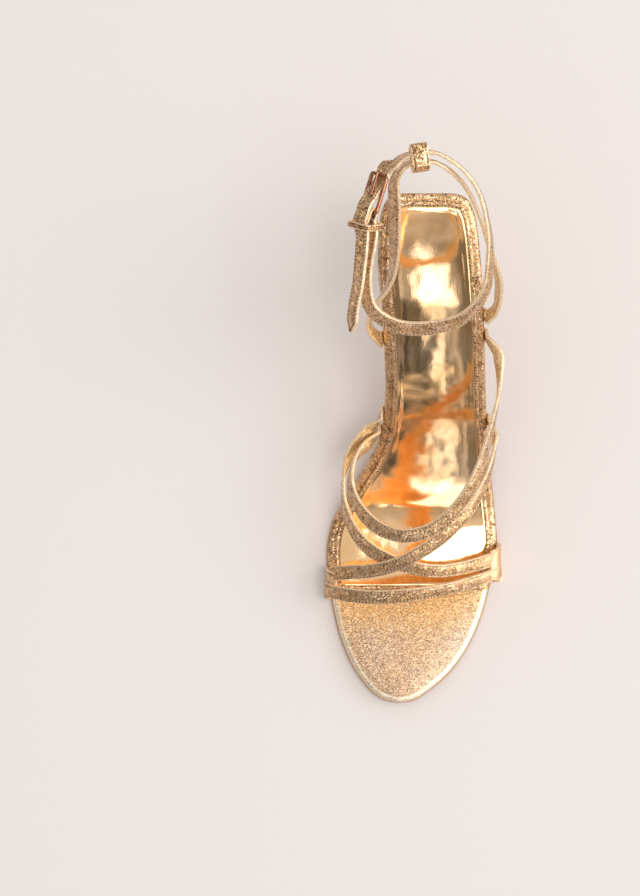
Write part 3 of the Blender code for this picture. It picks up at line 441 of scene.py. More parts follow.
def curve(rows, axes):
    """A smooth curve through rows, as a function of the distance along them, with each row's distance."""
    rows = np.array(rows, float)
    knots = gone_along(rows[:, :axes])
    slope = np.gradient(rows, knots, axis=0)

    def at(u):
        k = np.clip(np.searchsorted(knots, u, "right") - 1, 0, len(knots) - 2)
        width = (knots[k + 1] - knots[k])[:, None]
        return between(((u - knots[k]) / width[:, 0])[:, None], width, rows, slope, k)

    return at, knots


def smooth(rows, count, axes):
    """A smooth curve through rows, as count rows evenly spaced by the first axes columns."""
    at, knots = curve(rows, axes)
    fine = np.linspace(0, knots[-1], 30 * len(rows))
    run = gone_along(at(fine)[:, :axes])
    return at(np.interp(np.linspace(0, run[-1], count), run, fine))


def unit(vectors):
    return vectors / np.linalg.norm(vectors, axis=-1, keepdims=True)


def turned_way(a, one, other):
    """One direction, turned by a radians towards the other."""
    return math.cos(a) * one + math.sin(a) * other


def share_at(y):
    return y / LENGTH + BALL_AT


def place(along):
    return (along - BALL_AT) * LENGTH


def bed(y):
    """Height of the board's top."""
    along = share_at(y)
    rise = monotone(PROFILE, 1, along) * (HEEL_HEIGHT - STACK)
    return STACK + rise + monotone(PROFILE, 2, along) * TOE_SPRING


def bed_slope(y):
    step = 0.0004
    return (bed(y + step) - bed(y - step)) / (2 * step)


def on_bed(x, y, height):
    """Points above (or below) the board's top, measured square to it."""
    slope = bed_slope(y)
    size = np.sqrt(1 + slope**2)
    return np.stack([x, y - height * slope / size, bed(y) + height / size], axis=-1)


def bed_up(y):
    """The way square to the board's top, upwards, at each of the places along it."""
    slope = np.arctan(bed_slope(y))
    return np.stack([0 * slope, -np.sin(slope), np.cos(slope)], axis=1)


def outline(start, end, inset, count):
    """The board's inner and outer side from start to end, each as count points on the floor plan."""
    fine = 160
    scale = np.array([LENGTH, BALL_WIDTH])
    inner = smooth(np.array(INNER_SIDE) * scale, fine, 2)[:, ::-1]
    outer = smooth(np.array(OUTER_SIDE) * scale, fine, 2)[:, ::-1]
    loop = np.concatenate([inner, outer[-2:0:-1]])
    along = np.roll(loop, -1, axis=0) - np.roll(loop, 1, axis=0)
    inward = unit(np.stack([along[:, 1], -along[:, 0]], axis=1))
    if callable(inset):
        inset = inset(loop[:, 1] / LENGTH)[:, None]
    loop = loop + inward * inset
    sides = []
    for side in (loop[:fine], np.concatenate([loop[:1], loop[:fine - 2:-1]])):
        run = gone_along(side)
        cuts = [0, run[-1]]
        if start > 0:
            cuts[0] = np.interp(start * LENGTH, side[8:-12, 1], run[8:-12])
        if end < 1:
            cuts[1] = np.interp(end * LENGTH, side[8:-12, 1], run[8:-12])
        even = np.linspace(cuts[0], cuts[1], count)
        points = np.stack([np.interp(even, run, side[:, k]) for k in (0, 1)], axis=1)
        points[:, 1] -= BALL_AT * LENGTH
        sides.append(points)
    return sides


# Straps' tracks


def frames(path, normals, closed=False):
    """Unit tangent, outward face and sideways direction at each point of a path."""
    if closed:
        tangent = unit(np.roll(path, -1, axis=0) - np.roll(path, 1, axis=0))
    else:
        tangent = unit(np.gradient(path, axis=0))
    face = unit(normals - tangent * np.sum(normals * tangent, axis=1, keepdims=True))
    return tangent, face, np.cross(tangent, face)


def foot_level(points):
    """Grows outwards from the axis of the foot form; its gradient is the way a strap on the foot faces."""
    along = share_at(points[:, 1])
    values = [np.interp(along, [row[0] for row in LAST], [row[k] for row in LAST]) for k in range(1, 5)]
    axis, half, widest, rise = values
    up = (points[:, 2] - bed(points[:, 1])) / INSTEP - widest
    depth = np.where(up > 0, rise, widest + 0.12)
    return ((points[:, 0] / BALL_WIDTH - axis) / half) ** 2 + (up / depth) ** 2


def foot_facing(points):
    step = 0.0006
    ways = [foot_level(points + step * way) - foot_level(points - step * way) for way in np.eye(3)]
    return unit(np.stack(ways, axis=1))


def strand_rows(points, facings):
    """Control rows of a strap: place, the way its outer face looks, and its full thickness."""
    return np.concatenate([points, facings, np.full((len(points), 1), STRAP)], axis=1)


def on_foot(rows):
    """Control rows from centre-line rows (along, across, up and, where given, lift)."""
    rows = np.array(rows, float)
    y = place(rows[:, 0])
    points = np.stack([rows[:, 1] * BALL_WIDTH, y, bed(y) + rows[:, 2] * INSTEP], axis=1)
    facing = foot_facing(points)
    if rows.shape[1] > 3:
        points = points + facing * rows[:, 3:4] * STRAP
    return strand_rows(points, facing)


def round_ankle(rows):
    """Control rows from rows (turn, reach, rise, lean) that run round the ankle."""
    rows = np.array(rows, float)
    turn = np.radians(rows[:, 0])
    reach = rows[:, 1] * ANKLE_REACH
    height = HEEL_HEIGHT + rows[:, 2] * COLLAR
    points = np.stack([reach * np.sin(turn), place(ANKLE_AT) + reach * np.cos(turn), height], axis=1)
    tangent = np.gradient(points, axis=0)
    level = unit(np.stack([tangent[:, 1], -tangent[:, 0], 0 * turn], axis=1))
    lean = np.radians(rows[:, 3:4])
    return strand_rows(points, np.cos(lean) * level + np.sin(lean) * np.array([0, 0, 1.0]))


def edge_frame(side, along, width):
    """Where a strap meets the board's edge, clear of the edge over its whole width, and the level way out."""
    inner, outer = outline(0, 1, 0.0, 240)
    run = (inner if side < 0 else outer)[40:-30]
    y = place(along) + np.linspace(-0.5, 0.5, 9) * width
    spots = np.stack([np.interp(y, run[:, 1], run[:, 0]), y], axis=1)
    chord = spots[-1] - spots[0]
    out = side * unit(np.array([chord[1], -chord[0]]))
    return spots[4] + out * max(0.0, ((spots - spots[4]) @ out).max()), out


def tuck(side, along, slant, width):
    """The end of a strap: down past the board's edge, round its lower corner and in under it."""
    (x, y), out = edge_frame(side, along, width)
    nose = 0.0003
    beside = CLEARANCE + STRAP / 2
    under = CLEARANCE + STRAP_END / 2
    rows = [(beside, 0.20 * BOARD, 0), (beside, 0.60 * BOARD, 0)]
    for turned in (0, 22, 45, 68, 90):
        radius = beside + nose + (under - beside) * turned / 90
        a = math.radians(turned)
        rows.append((radius * math.cos(a) - nose, BOARD - nose + radius * math.sin(a), turned))
    rows += [(-0.45 * TUCK_IN, BOARD + under, 90), (-TUCK_IN, BOARD + under, 90)]
    slope = math.atan(bed_slope(y))
    outward = np.array([out[0], out[1] * math.cos(slope), out[1] * math.sin(slope)])
    downward = np.array([0, math.sin(slope), -math.cos(slope)])
    made = []
    for away, down, turned in rows:
        heading = slant * (beside - away)
        thick = STRAP + (STRAP_END - STRAP) * turned / 90
        spot = on_bed(x + away * out[0], y + away * out[1] + heading, -down)
        made.append([*spot, *turned_way(math.radians(turned), outward, downward), thick])
    return np.array(made)


def strand(parts):
    """One smooth path through parts: (control rows, number of points from its first row to its last)."""
    at, knots = curve(np.concatenate([rows for rows, _ in parts]), 3)
    places = []
    first = 0
    for rows, count in parts:
        last = first + len(rows) - 1
        places.extend(np.linspace(knots[first], knots[last], count))
        first = last + 1
    made = at(np.array(places))
    return made[:, :3], unit(made[:, 3:6]), made[:, 6]


def buckle_axes():
    """The buckle's centre and its directions: along the strap to the toe, out of its face, and sideways."""
    turn, heading, droop, lean = np.radians([BUCKLE_TURN, BUCKLE_HEADING, BUCKLE_DROOP, BUCKLE_LEAN])
    reach = BUCKLE_REACH * ANKLE_REACH
    x, y = reach * math.sin(turn), place(ANKLE_AT) + reach * math.cos(turn)
    centre = np.array([x, y, HEEL_HEIGHT + BUCKLE_RISE * COLLAR])
    level = np.array([-math.sin(heading), -math.cos(heading), 0])
    forward = math.cos(droop) * level - math.sin(droop) * np.array([0, 0, 1.0])
    beside = np.array([level[1], -level[0], 0])
    out = turned_way(lean, beside, np.array([0, 0, 1.0]))
    out = unit(out - forward * out.dot(forward))
    return centre, forward, out, np.cross(forward, out)


CENTRE, FORWARD, OUT, SIDEWAYS = buckle_axes()
BAR_AT = (FRAME_LENGTH - FRAME_WIRE) / 2
WINDOW = STRAP_WIDTH + 2 * CLEARANCE


def by_buckle(rows):
    """Control rows from rows (forward, out, turned, thick): metres from the buckle's centre, and degrees."""
    made = []
    for ahead, out, turned, thick in rows:
        spot = CENTRE + ahead * FORWARD + out * OUT
        made.append([*spot, *turned_way(math.radians(turned), OUT, FORWARD), thick])
    return np.array(made)


def ring_parts():
    """The ankle strap: folded round the buckle's bar, round the ankle, then through the buckle to its end."""
    fold = math.hypot(FRAME_WIRE, FRAME_THICK) / 2 + CLEARANCE + STRAP_END / 2
    back = [(BAR_AT + 0.0045, fold, 180, STRAP_END), (BAR_AT + 0.0015, fold, 180, STRAP_END)]
    for turned in (0, -30, -60, -90, -120, -150, -180):
        a = math.radians(turned)
        back.append((BAR_AT + fold * math.sin(a), fold * math.cos(a), turned + 180, STRAP_END))
    back.append((BAR_AT + 0.0020, -fold, 0, STRAP_END))
    back.append((BAR_AT + 0.0040, -fold, 0, STRAP))
    under = FRAME_THICK / 2 + CLEARANCE + STRAP / 2
    over = fold + STRAP_END / 2 + CLEARANCE + STRAP / 2
    through = [
        (-BAR_AT - 0.0030, -under, 0, STRAP),
        (-BAR_AT + 0.0008, -under, 0, STRAP),
        (0.0, (over - under) / 2, 0, STRAP),
        (BAR_AT - 0.0020, over, 0, STRAP),
        (BAR_AT + 0.0010, over, 0, STRAP),
        (BAR_AT + 0.0052, over, 0, STRAP),
    ]
    return [
        by_buckle(back),
        round_ankle(RING),
        by_buckle(through),
        round_ankle(FREE_END),
    ]


def reach_round(loop, middle, angles):
    """Distance from the middle to a closed outline on the floor plan, in each of the angles."""
    away = loop - middle
    found = []
    for angle in angles:
        way = np.array([math.sin(angle), math.cos(angle)])
        side = away @ np.array([way[1], -way[0]])
        ahead = away @ way
        best = 0.0
        for k in range(len(loop)):
            n = (k + 1) % len(loop)
            if side[k] * side[n] <= 0 and side[k] != side[n]:
                best = max(best, ahead[k] + side[k] / (side[k] - side[n]) * (ahead[n] - ahead[k]))
        found.append(best)
    return np.array(found)


def heel_plan(count):
    """The heel's angles, the middle and reach of its top, and the middle and reach of its tip."""
    angles = np.linspace(0, 2 * math.pi, count, endpoint=False) + math.pi / count
    inner, outer = outline(BREAST_AT, 1, HEEL_SHY, 60)
    ring = np.concatenate([inner, outer[::-1]])
    ring[:, 1] = np.maximum(ring[:, 1], place(BREAST_AT) + BREAST_GAP)
    middle = np.array([(inner[0, 0] + outer[0, 0]) / 2, place((BREAST_AT + 1) / 2)])
    tip = np.array([middle[0], place(1) - HEEL_TIP_FORWARD])
    wide = np.abs(np.sin(angles) / (TIP_WIDTH / 2)) ** TIP_SQUARENESS
    deep = np.abs(np.cos(angles) / (TIP_DEPTH / 2)) ** TIP_SQUARENESS
    return angles, middle, reach_round(ring, middle, angles), tip, (wide + deep) ** (-1 / TIP_SQUARENESS)


# Finishes


class Socket:
    """A node's output that takes part in arithmetic; each operation adds its Math node."""

    def __init__(self, tree, socket=None):
        self.tree = tree
        self.socket = socket

    def node(self, kind, settings=None, sockets=None, output=0):
        """Adds a node, with its settings and the values or links of its inputs. Gives one of its outputs."""
        made = self.tree.nodes.new(kind)
        for key, value in (settings or {}).items():
            if key == "stops":
                self.set_stops(made.color_ramp, value)
            else:
                setattr(made, key, value)
        for key, value in (sockets or {}).items():
            if isinstance(value, Socket):
                self.tree.links.new(value.socket, made.inputs[key])
            else:
                made.inputs[key].default_value = value
        return Socket(self.tree, made.outputs[output])

    @staticmethod
    def set_stops(ramp, stops):
        while len(ramp.elements) > 1:
            ramp.elements.remove(ramp.elements[-1])
        for at, colour in stops:
            element = ramp.elements[0] if at == stops[0][0] else ramp.elements.new(at)
            element.position = at
            element.color = (*colour, 1.0)

    def maths(self, operation, *values):
        return self.node("ShaderNodeMath", {"operation": operation}, dict(enumerate(values)))

    def __add__(self, other):
        return self.maths("ADD", self, other)

    def __sub__(self, other):
        return self.maths("SUBTRACT", self, other)

    def __rsub__(self, other):
        return self.maths("SUBTRACT", other, self)

    def __mul__(self, other):
        return self.maths("MULTIPLY", self, other)

    __radd__ = __add__
    __rmul__ = __mul__

    def ramp(self, low, high):
        """0 below low and 1 above high, eased between them; the other way round where low is over high."""
        sockets = {0: self, 1: min(low, high), 2: max(low, high), 3: 0.0, 4: 1.0}
        if low > high:
            sockets.update({3: 1.0, 4: 0.0})
        return self.node("ShaderNodeMapRange", {"interpolation_type": "SMOOTHSTEP"}, sockets)

    def blend(self, under, over):
        """Mixes two colours by this factor. Each is a socket or three numbers."""
        under, over = (colour if isinstance(colour, Socket) else rgba(colour) for colour in (under, over))
        return self.node("ShaderNodeMix", {"data_type": "RGBA"}, {0: self, 6: under, 7: over}, 2)

    def turn(self, under, over):
        """Mixes two facings by this factor."""
        return self.node("ShaderNodeMix", {"data_type": "VECTOR"}, {0: self, 4: under, 5: over}, 1)

    def axis(self, k):
        return self.node("ShaderNodeSeparateXYZ", None, {0: self}, k)

    def channel(self, k):
        return self.node("ShaderNodeSeparateColor", None, {0: self}, k)

    def vectors(self, operation, one, other, output=0):
        """Vector arithmetic with two vectors, or with a vector and its scale."""
        second = 3 if operation == "SCALE" else 1
        return self.node("ShaderNodeVectorMath", {"operation": operation}, {0: one, second: other}, output)

    def grain(self, vector, scale, detail=2.0, rough=0.5, output=0):
        sockets = {"Vector": vector, "Scale": scale, "Detail": detail, "Roughness": rough}
        return self.node("ShaderNodeTexNoise", None, sockets, output)

    def cells(self, vector, scale, feature="F1", output=0):
        sockets = {"Vector": vector, "Scale": scale}
        return self.node("ShaderNodeTexVoronoi", {"feature": feature}, sockets, output)

    def attribute(self, name):
        return self.node("ShaderNodeAttribute", {"attribute_name": name}, None, 2)

    def own_facing(self):
        return self.node("ShaderNodeNewGeometry", None, None, 1)


def rgba(colour):
    return (*colour, 1.0)


def new_finish(name, colour, metallic, roughness):
    """A material, a Socket for its tree, and the place on the shoe, in metres."""
    made = bpy.data.materials.new(name)
    made.use_nodes = True
    shader = made.node_tree.nodes["Principled BSDF"]
    shader.inputs["Base Color"].default_value = rgba(colour)
    shader.inputs["Metallic"].default_value = metallic
    shader.inputs["Roughness"].default_value = roughness
    made.diffuse_color = rgba(colour)
    pen = Socket(made.node_tree)
    return made, pen, pen.node("ShaderNodeTexCoord", None, None, 3)


def plug(made, wires):
    """Links a material's shader to the sockets that drive it, and gives the material."""
    shader = made.node_tree.nodes["Principled BSDF"]
    for name, wire in wires.items():
        made.node_tree.links.new(wire.socket, shader.inputs[name])
    return made


def bump(pen, height, strength, distance, facing=None):
    sockets = {"Strength": strength, "Distance": distance, "Height": height}
    if facing:
        sockets["Normal"] = facing
    return pen.node("ShaderNodeBump", None, sockets)


def shifted(pen, start, colour, reach):
    """A place or a facing, moved up to half the reach each way by what a random colour says."""
    shift = pen.vectors("SUBTRACT", colour, (0.5, 0.5, 0.5))
    return pen.vectors("ADD", start, pen.vectors("SCALE", shift, reach))


def leaning(pen, cell):
    """The surface's own facing, tipped another way in each cell, so that cells sparkle one by one."""
    both = shifted(pen, pen.own_facing(), cell, CELL_LEAN)
    return pen.node("ShaderNodeVectorMath", {"operation": "NORMALIZE"}, {0: both})


def warped(pen, place_on, scale, reach):
    """The coordinates, shifted by noise so that cells lose their straight edges."""
    return shifted(pen, place_on, pen.grain(place_on, scale, output=1), reach)


def crackle(pen, place_on, colours):
    """Crackled gold foil whose flecks catch the light one by one: colour, roughness, height and facing."""
    spot = warped(pen, place_on, 1100.0, 0.0007)
    cell = pen.cells(spot, FOIL_CELLS, "F1", 1)
    shade = cell.channel(0)
    lost = cell.channel(1)
    split = pen.cells(spot, 0.62 * FOIL_CELLS, "DISTANCE_TO_EDGE").ramp(0.13, 0.02)
    patch = pen.grain(place_on, 130.0, 3.0)
    worn = pen.grain(place_on, 330.0).ramp(0.36, 0.62)
    open_crack = split * (0.35 + worn * 0.65)
    base = patch.ramp(0.35, 0.68).blend(colours.gold, colours.gold_deep)
    base = (shade.ramp(0.55, 1.0) * 0.45).blend(base, colours.gold_pale)
    base = (lost.ramp(0.70, 0.82) * (0.20 + worn * 0.75)).blend(base, colours.crack)
    base = (open_crack * 0.80).blend(base, colours.crack)
    rough = 0.09 + shade * 0.10 + open_crack * 0.22
    fine = pen.grain(place_on, 3600.0)
    height = shade * 0.8 + fine * 0.3 - open_crack * 1.3
    return base, rough, height, leaning(pen, cell)


def strap_finish(colours):
    """Crackled gold outside, peach painted edges and a smooth orange-gold lining."""
    made, pen, place_on = new_finish("crackled_strap_leather", colours.gold, 0.9, 0.34)
    base, rough, height, facing = crackle(pen, place_on, colours)
    inset = pen.attribute("inset")
    outer = pen.attribute("outer")
    groove = inset.ramp(STITCH_INSET - 0.00045, STITCH_INSET - 0.0001)
    groove = groove * inset.ramp(STITCH_INSET + 0.00045, STITCH_INSET + 0.0001) * outer.ramp(0.8, 0.92)
    along = pen.node("ShaderNodeUVMap", {"uv_map": "strap"}).axis(0)
    between = pen.maths("ABSOLUTE", pen.maths("FRACT", along * (1 / HOLE_PITCH)) - 0.5).ramp(0.26, 0.14)
    # Painted shade darkens the sewing groove, most at each needle hole.
    base = (groove * (0.40 + between * 0.55)).blend(base, colours.hole)
    painted = inset.ramp(0.00048, 0.00024)
    smooth = place_on.axis(0).ramp(0.029, 0.035) * place_on.axis(2).ramp(0.026, 0.020)
    base = (smooth * 0.85).blend(base, colours.gold)
    base = (painted * 0.92).blend(base, colours.edge)
    facing = smooth.turn(facing, pen.own_facing())
    lined = outer.ramp(0.30, 0.12)
    lining = pen.grain(place_on, 160.0).ramp(0.3, 0.75).blend(colours.lining, colours.lining_deep)
    base = lined.blend(base, lining)
    rough = rough + painted * 0.12 + lined * 0.06 + smooth * 0.16
    height = height * (1 - lined * 0.75) * (1 - painted * 0.6) * (1 - smooth * 0.8)
    return plug(made, {
        "Base Color": base,
        "Metallic": 0.92 - painted * 0.50 - lined * 0.25,
        "Roughness": rough,
        "Normal": bump(pen, height, 0.5, 0.00010, facing),
    })


def rim_finish(colours):
    """The board: crackled gold round its rim, grained champagne leather under the toes."""
    made, pen, place_on = new_finish("rim_and_toe_leather", colours.toe, 0.85, 0.4)
    base, rough, height, facing = crackle(pen, place_on, colours)
    toe, toe_rough, toe_height, toe_facing = toe_leather(pen, place_on, colours)
    front = place_on.axis(1).ramp(place(SOCK_FROM) + 0.004, place(SOCK_FROM) + 0.003)
    # Near the toe part's edge the leather is polished smooth, and its colour is painted pale there as a
    # highlight.
    polish_and_painted_highlight = pen.attribute("inset").ramp(0.0030, 0.0016) * front
    toe = (polish_and_painted_highlight * 0.8).blend(toe, colours.gold_pale)
    facing = front.turn(facing, polish_and_painted_highlight.turn(toe_facing, pen.own_facing()))
    return plug(made, {
        "Base Color": front.blend(base, toe),
        "Metallic": 0.92 - front * 0.06,
        "Roughness": rough * (1 - front) + toe_rough * front,
        "Normal": bump(pen, height * (1 - front) + toe_height * front, 0.5, 0.00012, facing),
    })


def toe_leather(pen, place_on, colours):
    """Strongly grained champagne leather: colour, roughness, height and facing."""
    stretched = pen.vectors("MULTIPLY", place_on, (0.75, 1.25, 1.0))
    spot = warped(pen, stretched, 900.0, 0.0009)
    cell = pen.cells(spot, TOE_CELLS, "F1", 1)
    shade = cell.channel(0)
    crease = pen.cells(spot, TOE_CELLS, "DISTANCE_TO_EDGE").ramp(0.16, 0.02)
    patch = pen.grain(place_on, 75.0, 3.0).ramp(0.32, 0.70)
    fine = pen.grain(place_on, 3200.0)
    fleck = pen.grain(stretched, TOE_CELLS, 2.0, 0.65)
    ahead = place_on.axis(1)
    painted_shade_by_strap = ahead.ramp(-0.042, -0.024)
    # Painted highlight: the leather is painted paler towards the outer side and the toe tip.
    painted_side_highlight = (place_on.axis(0) - ahead * 0.6).ramp(0.026, 0.060)
    # Random patches and painted shade next to the toe strap both deepen the leather's colour.
    base = (patch * 0.25 + painted_shade_by_strap * 0.75).blend(colours.toe, colours.toe_deep)
    base = (painted_side_highlight * 0.50).blend(base, colours.gold_pale)
    base = (fleck.ramp(0.54, 0.68) * 0.75).blend(base, colours.gold_pale)
    base = (fleck.ramp(0.47, 0.34) * 0.65 + crease * 0.20).blend(base, colours.toe_crease)
    return base, 0.20 + shade * 0.12, shade * 0.5 + fine * 0.3 - crease * 0.7, leaning(pen, cell)


def sock_finish(colours):
    """Mirror gold foil with a fine orange peel, and a border of crackled foil outside the sewing line."""
    made, pen, place_on = new_finish("mirror_gold_foil", colours.sock, 1.0, 0.12)
    peel = pen.grain(place_on, 1700.0)
    scuff = pen.grain(place_on, 60.0, 4.0)
    sag = pen.grain(place_on, 50.0, 2.0, 0.45)
    base = scuff.ramp(0.35, 0.7).blend(colours.sock, colours.sock_deep)
    seam = SOCK_INSET + SOCK_STITCH
    inset = pen.attribute("inset")
    border = inset.ramp(seam + 0.0003, seam - 0.0001)
    foil, foil_rough, foil_height, facing = crackle(pen, place_on, colours)
    off_seam = pen.maths("ABSOLUTE", inset - seam)
    # Painted shade darkens the sock's sewing line.
    foil = (off_seam.ramp(0.00045, 0.00015) * 0.7).blend(foil, colours.hole)
    facing = border.turn(pen.own_facing(), facing)
    smooth_height = sag * 7.0 + peel * 0.26 + scuff * 0.4
    return plug(made, {
        "Base Color": border.blend(base, foil),
        "Roughness": (0.03 + peel * 0.05 + scuff * 0.03) * (1 - border) + foil_rough * border,
        "Normal": bump(pen, smooth_height * (1 - border) + foil_height * border, 0.6, 0.00014, facing),
    })


def heel_finish(colours):
    made, pen, place_on = new_finish("crackled_heel_cover", colours.gold, 0.9, 0.34)
    base, rough, height, facing = crackle(pen, place_on, colours)
    normal = bump(pen, height, 0.5, 0.00010, facing)
    return plug(made, {"Base Color": base, "Roughness": rough, "Normal": normal})


def outsole_finish(colours):
    """Tan sole leather: matt and faintly scuffed."""
    made, pen, place_on = new_finish("tan_sole_leather", colours.outsole, 0.0, 0.5)
    scuff = pen.grain(place_on, 55.0, 5.0, 0.6)
    pore = pen.grain(place_on, 1900.0)
    base = scuff.ramp(0.35, 0.72).blend(colours.outsole, colours.outsole_worn)
    return plug(made, {
        "Base Color": base,
        "Roughness": 0.42 + scuff * 0.22,
        "Normal": bump(pen, pore * 0.5 + scuff, 0.3, 0.00012),
    })


def rubber_finish(colours):
    made, pen, place_on = new_finish("beige_hard_rubber", colours.rubber, 0.0, 0.6)
    speck = pen.grain(place_on, 2400.0, 3.0)
    wear = pen.grain(place_on, 300.0)
    base = wear.ramp(0.35, 0.7).blend(colours.rubber, [0.8 * c for c in colours.rubber])
    return plug(made, {
        "Base Color": base,
        "Roughness": 0.5 + wear * 0.2,
        "Normal": bump(pen, speck, 0.25, 0.0001),
    })


def metal_finish(colours):
    made, pen, place_on = new_finish("rose_gold_plating", colours.metal, 1.0, 0.2)
    rub = pen.grain(place_on, 500.0, 4.0)
    base = rub.ramp(0.4, 0.7).blend(colours.metal, colours.metal_dark)
    return plug(made, {
        "Base Color": base,
        "Roughness": 0.14 + rub * 0.16,
        "Normal": bump(pen, rub, 0.08, 0.0001),
    })


def thread_finish(colours):
    made, pen, place_on = new_finish("gold_thread", colours.thread, 0.25, 0.5)
    twist = pen.grain(place_on, 3000.0)
    base = twist.ramp(0.3, 0.7).blend(colours.thread, [0.75 * c for c in colours.thread])
    return plug(made, {
        "Base Color": base,
        "Roughness": 0.38 + twist * 0.2,
    })


def floor_finish(colours):
    made, pen, place_on = new_finish("pale_paper", colours.floor, 0.0, 0.75)
    tooth = pen.grain(place_on, 220.0, 3.0)
    return plug(made, {"Normal": bump(pen, tooth, 0.05, 0.0002)})


FINISHES = {
    "strap": (strap_finish, "gold_crackle_leather"),
    "rim": (rim_finish, "champagne_leather"),
    "sock": (sock_finish, "mirror_gold_sock"),
    "heel": (heel_finish, "gold_heel_cover"),
    "outsole": (outsole_finish, "tan_outsole"),
    "rubber": (rubber_finish, "beige_top_piece"),
    "metal": (metal_finish, "rose_gold_metal"),
    "thread": (thread_finish, "gold_crackle_leather"),
}
made_finishes = {}


def finish_for(kind):
    """The material of that kind, made once."""
    if kind not in made_finishes:
        made_finishes[kind] = FINISHES[kind][0](bpy.context.scene.sandal_colours)
    return made_finishes[kind]


# Meshes


def add_object(name, data):
    made = bpy.data.objects.new(name, data)
    bpy.context.scene.collection.objects.link(made)
    return made


def solid(name, points, faces, facts=None, uv=None):
    """A closed mesh object. Facts are values at its points, uv is two values at each point."""
    mesh = bpy.data.meshes.new(name)
    mesh.from_pydata(np.asarray(points).tolist(), [], [list(face) for face in faces])
    for key, values in (facts or {}).items():
        mesh.attributes.new(key, "FLOAT", "POINT").data.foreach_set("value", np.asarray(values, np.float32))
    if uv is not None:
        corners = np.empty(len(mesh.loops), int)
        mesh.loops.foreach_get("vertex_index", corners)
        mesh.uv_layers.new(name="strap").data.foreach_set("uv", np.asarray(uv, np.float32)[corners].ravel())
    shape = bmesh.new()
    shape.from_mesh(mesh)
    bmesh.ops.remove_doubles(shape, verts=shape.verts, dist=SAME_POINT)
    bmesh.ops.recalc_face_normals(shape, faces=shape.faces)
    if shape.calc_volume(signed=True) < 0:
        bmesh.ops.reverse_faces(shape, faces=shape.faces)
    shape.to_mesh(mesh)
    shape.free()
    return add_object(name, mesh)


def finish_piece(made, kind, nodes=()):
    """Shades a piece, gives it its material and ties it to the frame."""
    mesh = made.data
    mesh.shade_smooth()
    mesh.set_sharp_from_angle(angle=math.radians(SHARP_FROM))
    if not mesh.materials:
        mesh.materials.append(finish_for(kind))
    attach(made, "root")
    if nodes:
        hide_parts(*nodes)
    return made


def cut_away(made, cutters):
    """Cuts helper meshes out of a piece for good."""
    for cutter in cutters:
        modifier = made.modifiers.new(cutter.name, "BOOLEAN")
        modifier.operation = "DIFFERENCE"
        modifier.solver = "EXACT"
        modifier.object = cutter
    as_plain_mesh(made)
    for cutter in cutters:
        bpy.data.objects.remove(cutter, do_unlink=True)


def as_plain_mesh(made):
    """Applies a piece's modifiers and takes them off."""
    bpy.context.view_layer.update()
    graph = bpy.context.evaluated_depsgraph_get()
    mesh = bpy.data.meshes.new_from_object(made.evaluated_get(graph), depsgraph=graph)
    made.modifiers.clear()
    made.data = mesh
    mesh.name = made.name
    return made


def tube(name, sections, closed=False, facts=None, uv=None):
    """Joins sections of equally many points, with flat ends unless it runs round to its start."""
    sections = np.asarray(sections)
    count, size = sections.shape[:2]
    faces = []
    for k in range(count if closed else count - 1):
        here, after = k * size, (k + 1) % count * size
        for j in range(size):
            n = (j + 1) % size
            faces.append((here + j, here + n, after + n, after + j))
    if not closed:
        faces.append(tuple(range(size))[::-1])
        faces.append(tuple(range((count - 1) * size, count * size)))
    return solid(name, sections.reshape(-1, 3), faces, facts, uv)


# inset, height: a strap's outer face from its edge to its middle. Inset is in metres, height a share of
# half the thickness. The dip is the sewing line.
STRAP_FACE = [
    (0.0, -0.40),
    (0.0, 0.30),
    (0.00012, 0.78),
    (0.00035, 0.98),
    (0.00070, 0.98),
    (0.00100, 0.76),
    (0.00130, 0.98),
    (0.00210, 1.10),
]
MIDDLE_HEIGHT = 1.14
STRAP_BACK = [(0.00012, -0.85), (0.00040, -1.0)]  # the same for its lining


def strap(name, path, facing, width, thick, closed=False):
    """A stitched strap: crowned outer face with a sewn line along each edge, and a flat lining."""
    _, face, side = frames(path, facing, closed)
    count = len(path)
    half = np.broadcast_to(np.asarray(width, float) / 2, count)
    deep = np.broadcast_to(np.asarray(thick, float) / 2, count)
    rows = [(inset, level, 1) for inset, level in STRAP_FACE] + [(None, MIDDLE_HEIGHT, 1)]
    rows += [(inset, level, -1) for inset, level in STRAP_FACE[::-1]]
    rows += [(inset, level, -1) for inset, level in STRAP_BACK] + [(None, -1.0, 1)]
    rows += [(inset, level, 1) for inset, level in STRAP_BACK[::-1]]
    across = []
    level = []
    inset = []
    for gap, height, way in rows:
        away = half if gap is None else np.minimum(gap, half)
        across.append(way * (away - half))
        inset.append(away)
        level.append(height * deep)
    across, level, inset = (np.stack(made, axis=1) for made in (across, level, inset))
    sections = path[:, None] + across[:, :, None] * side[:, None] + level[:, :, None] * face[:, None]
    outer = np.clip((level / deep[:, None] + 1) / 2, 0, 1)
    along = np.broadcast_to(gone_along(path)[:, None], across.shape)
    facts = {"inset": inset.ravel(), "outer": outer.ravel()}
    return tube(name, sections, closed, facts, np.stack([along.ravel(), across.ravel()], axis=1))


def slab_sides(start, end, inset, count):
    """The sides of a slab's ring. Its front edge is set back as far as its sides are set in."""
    least = 0.0 if callable(inset) else inset
    return outline(start + least / LENGTH if start > 0 else 0, end, inset, count)


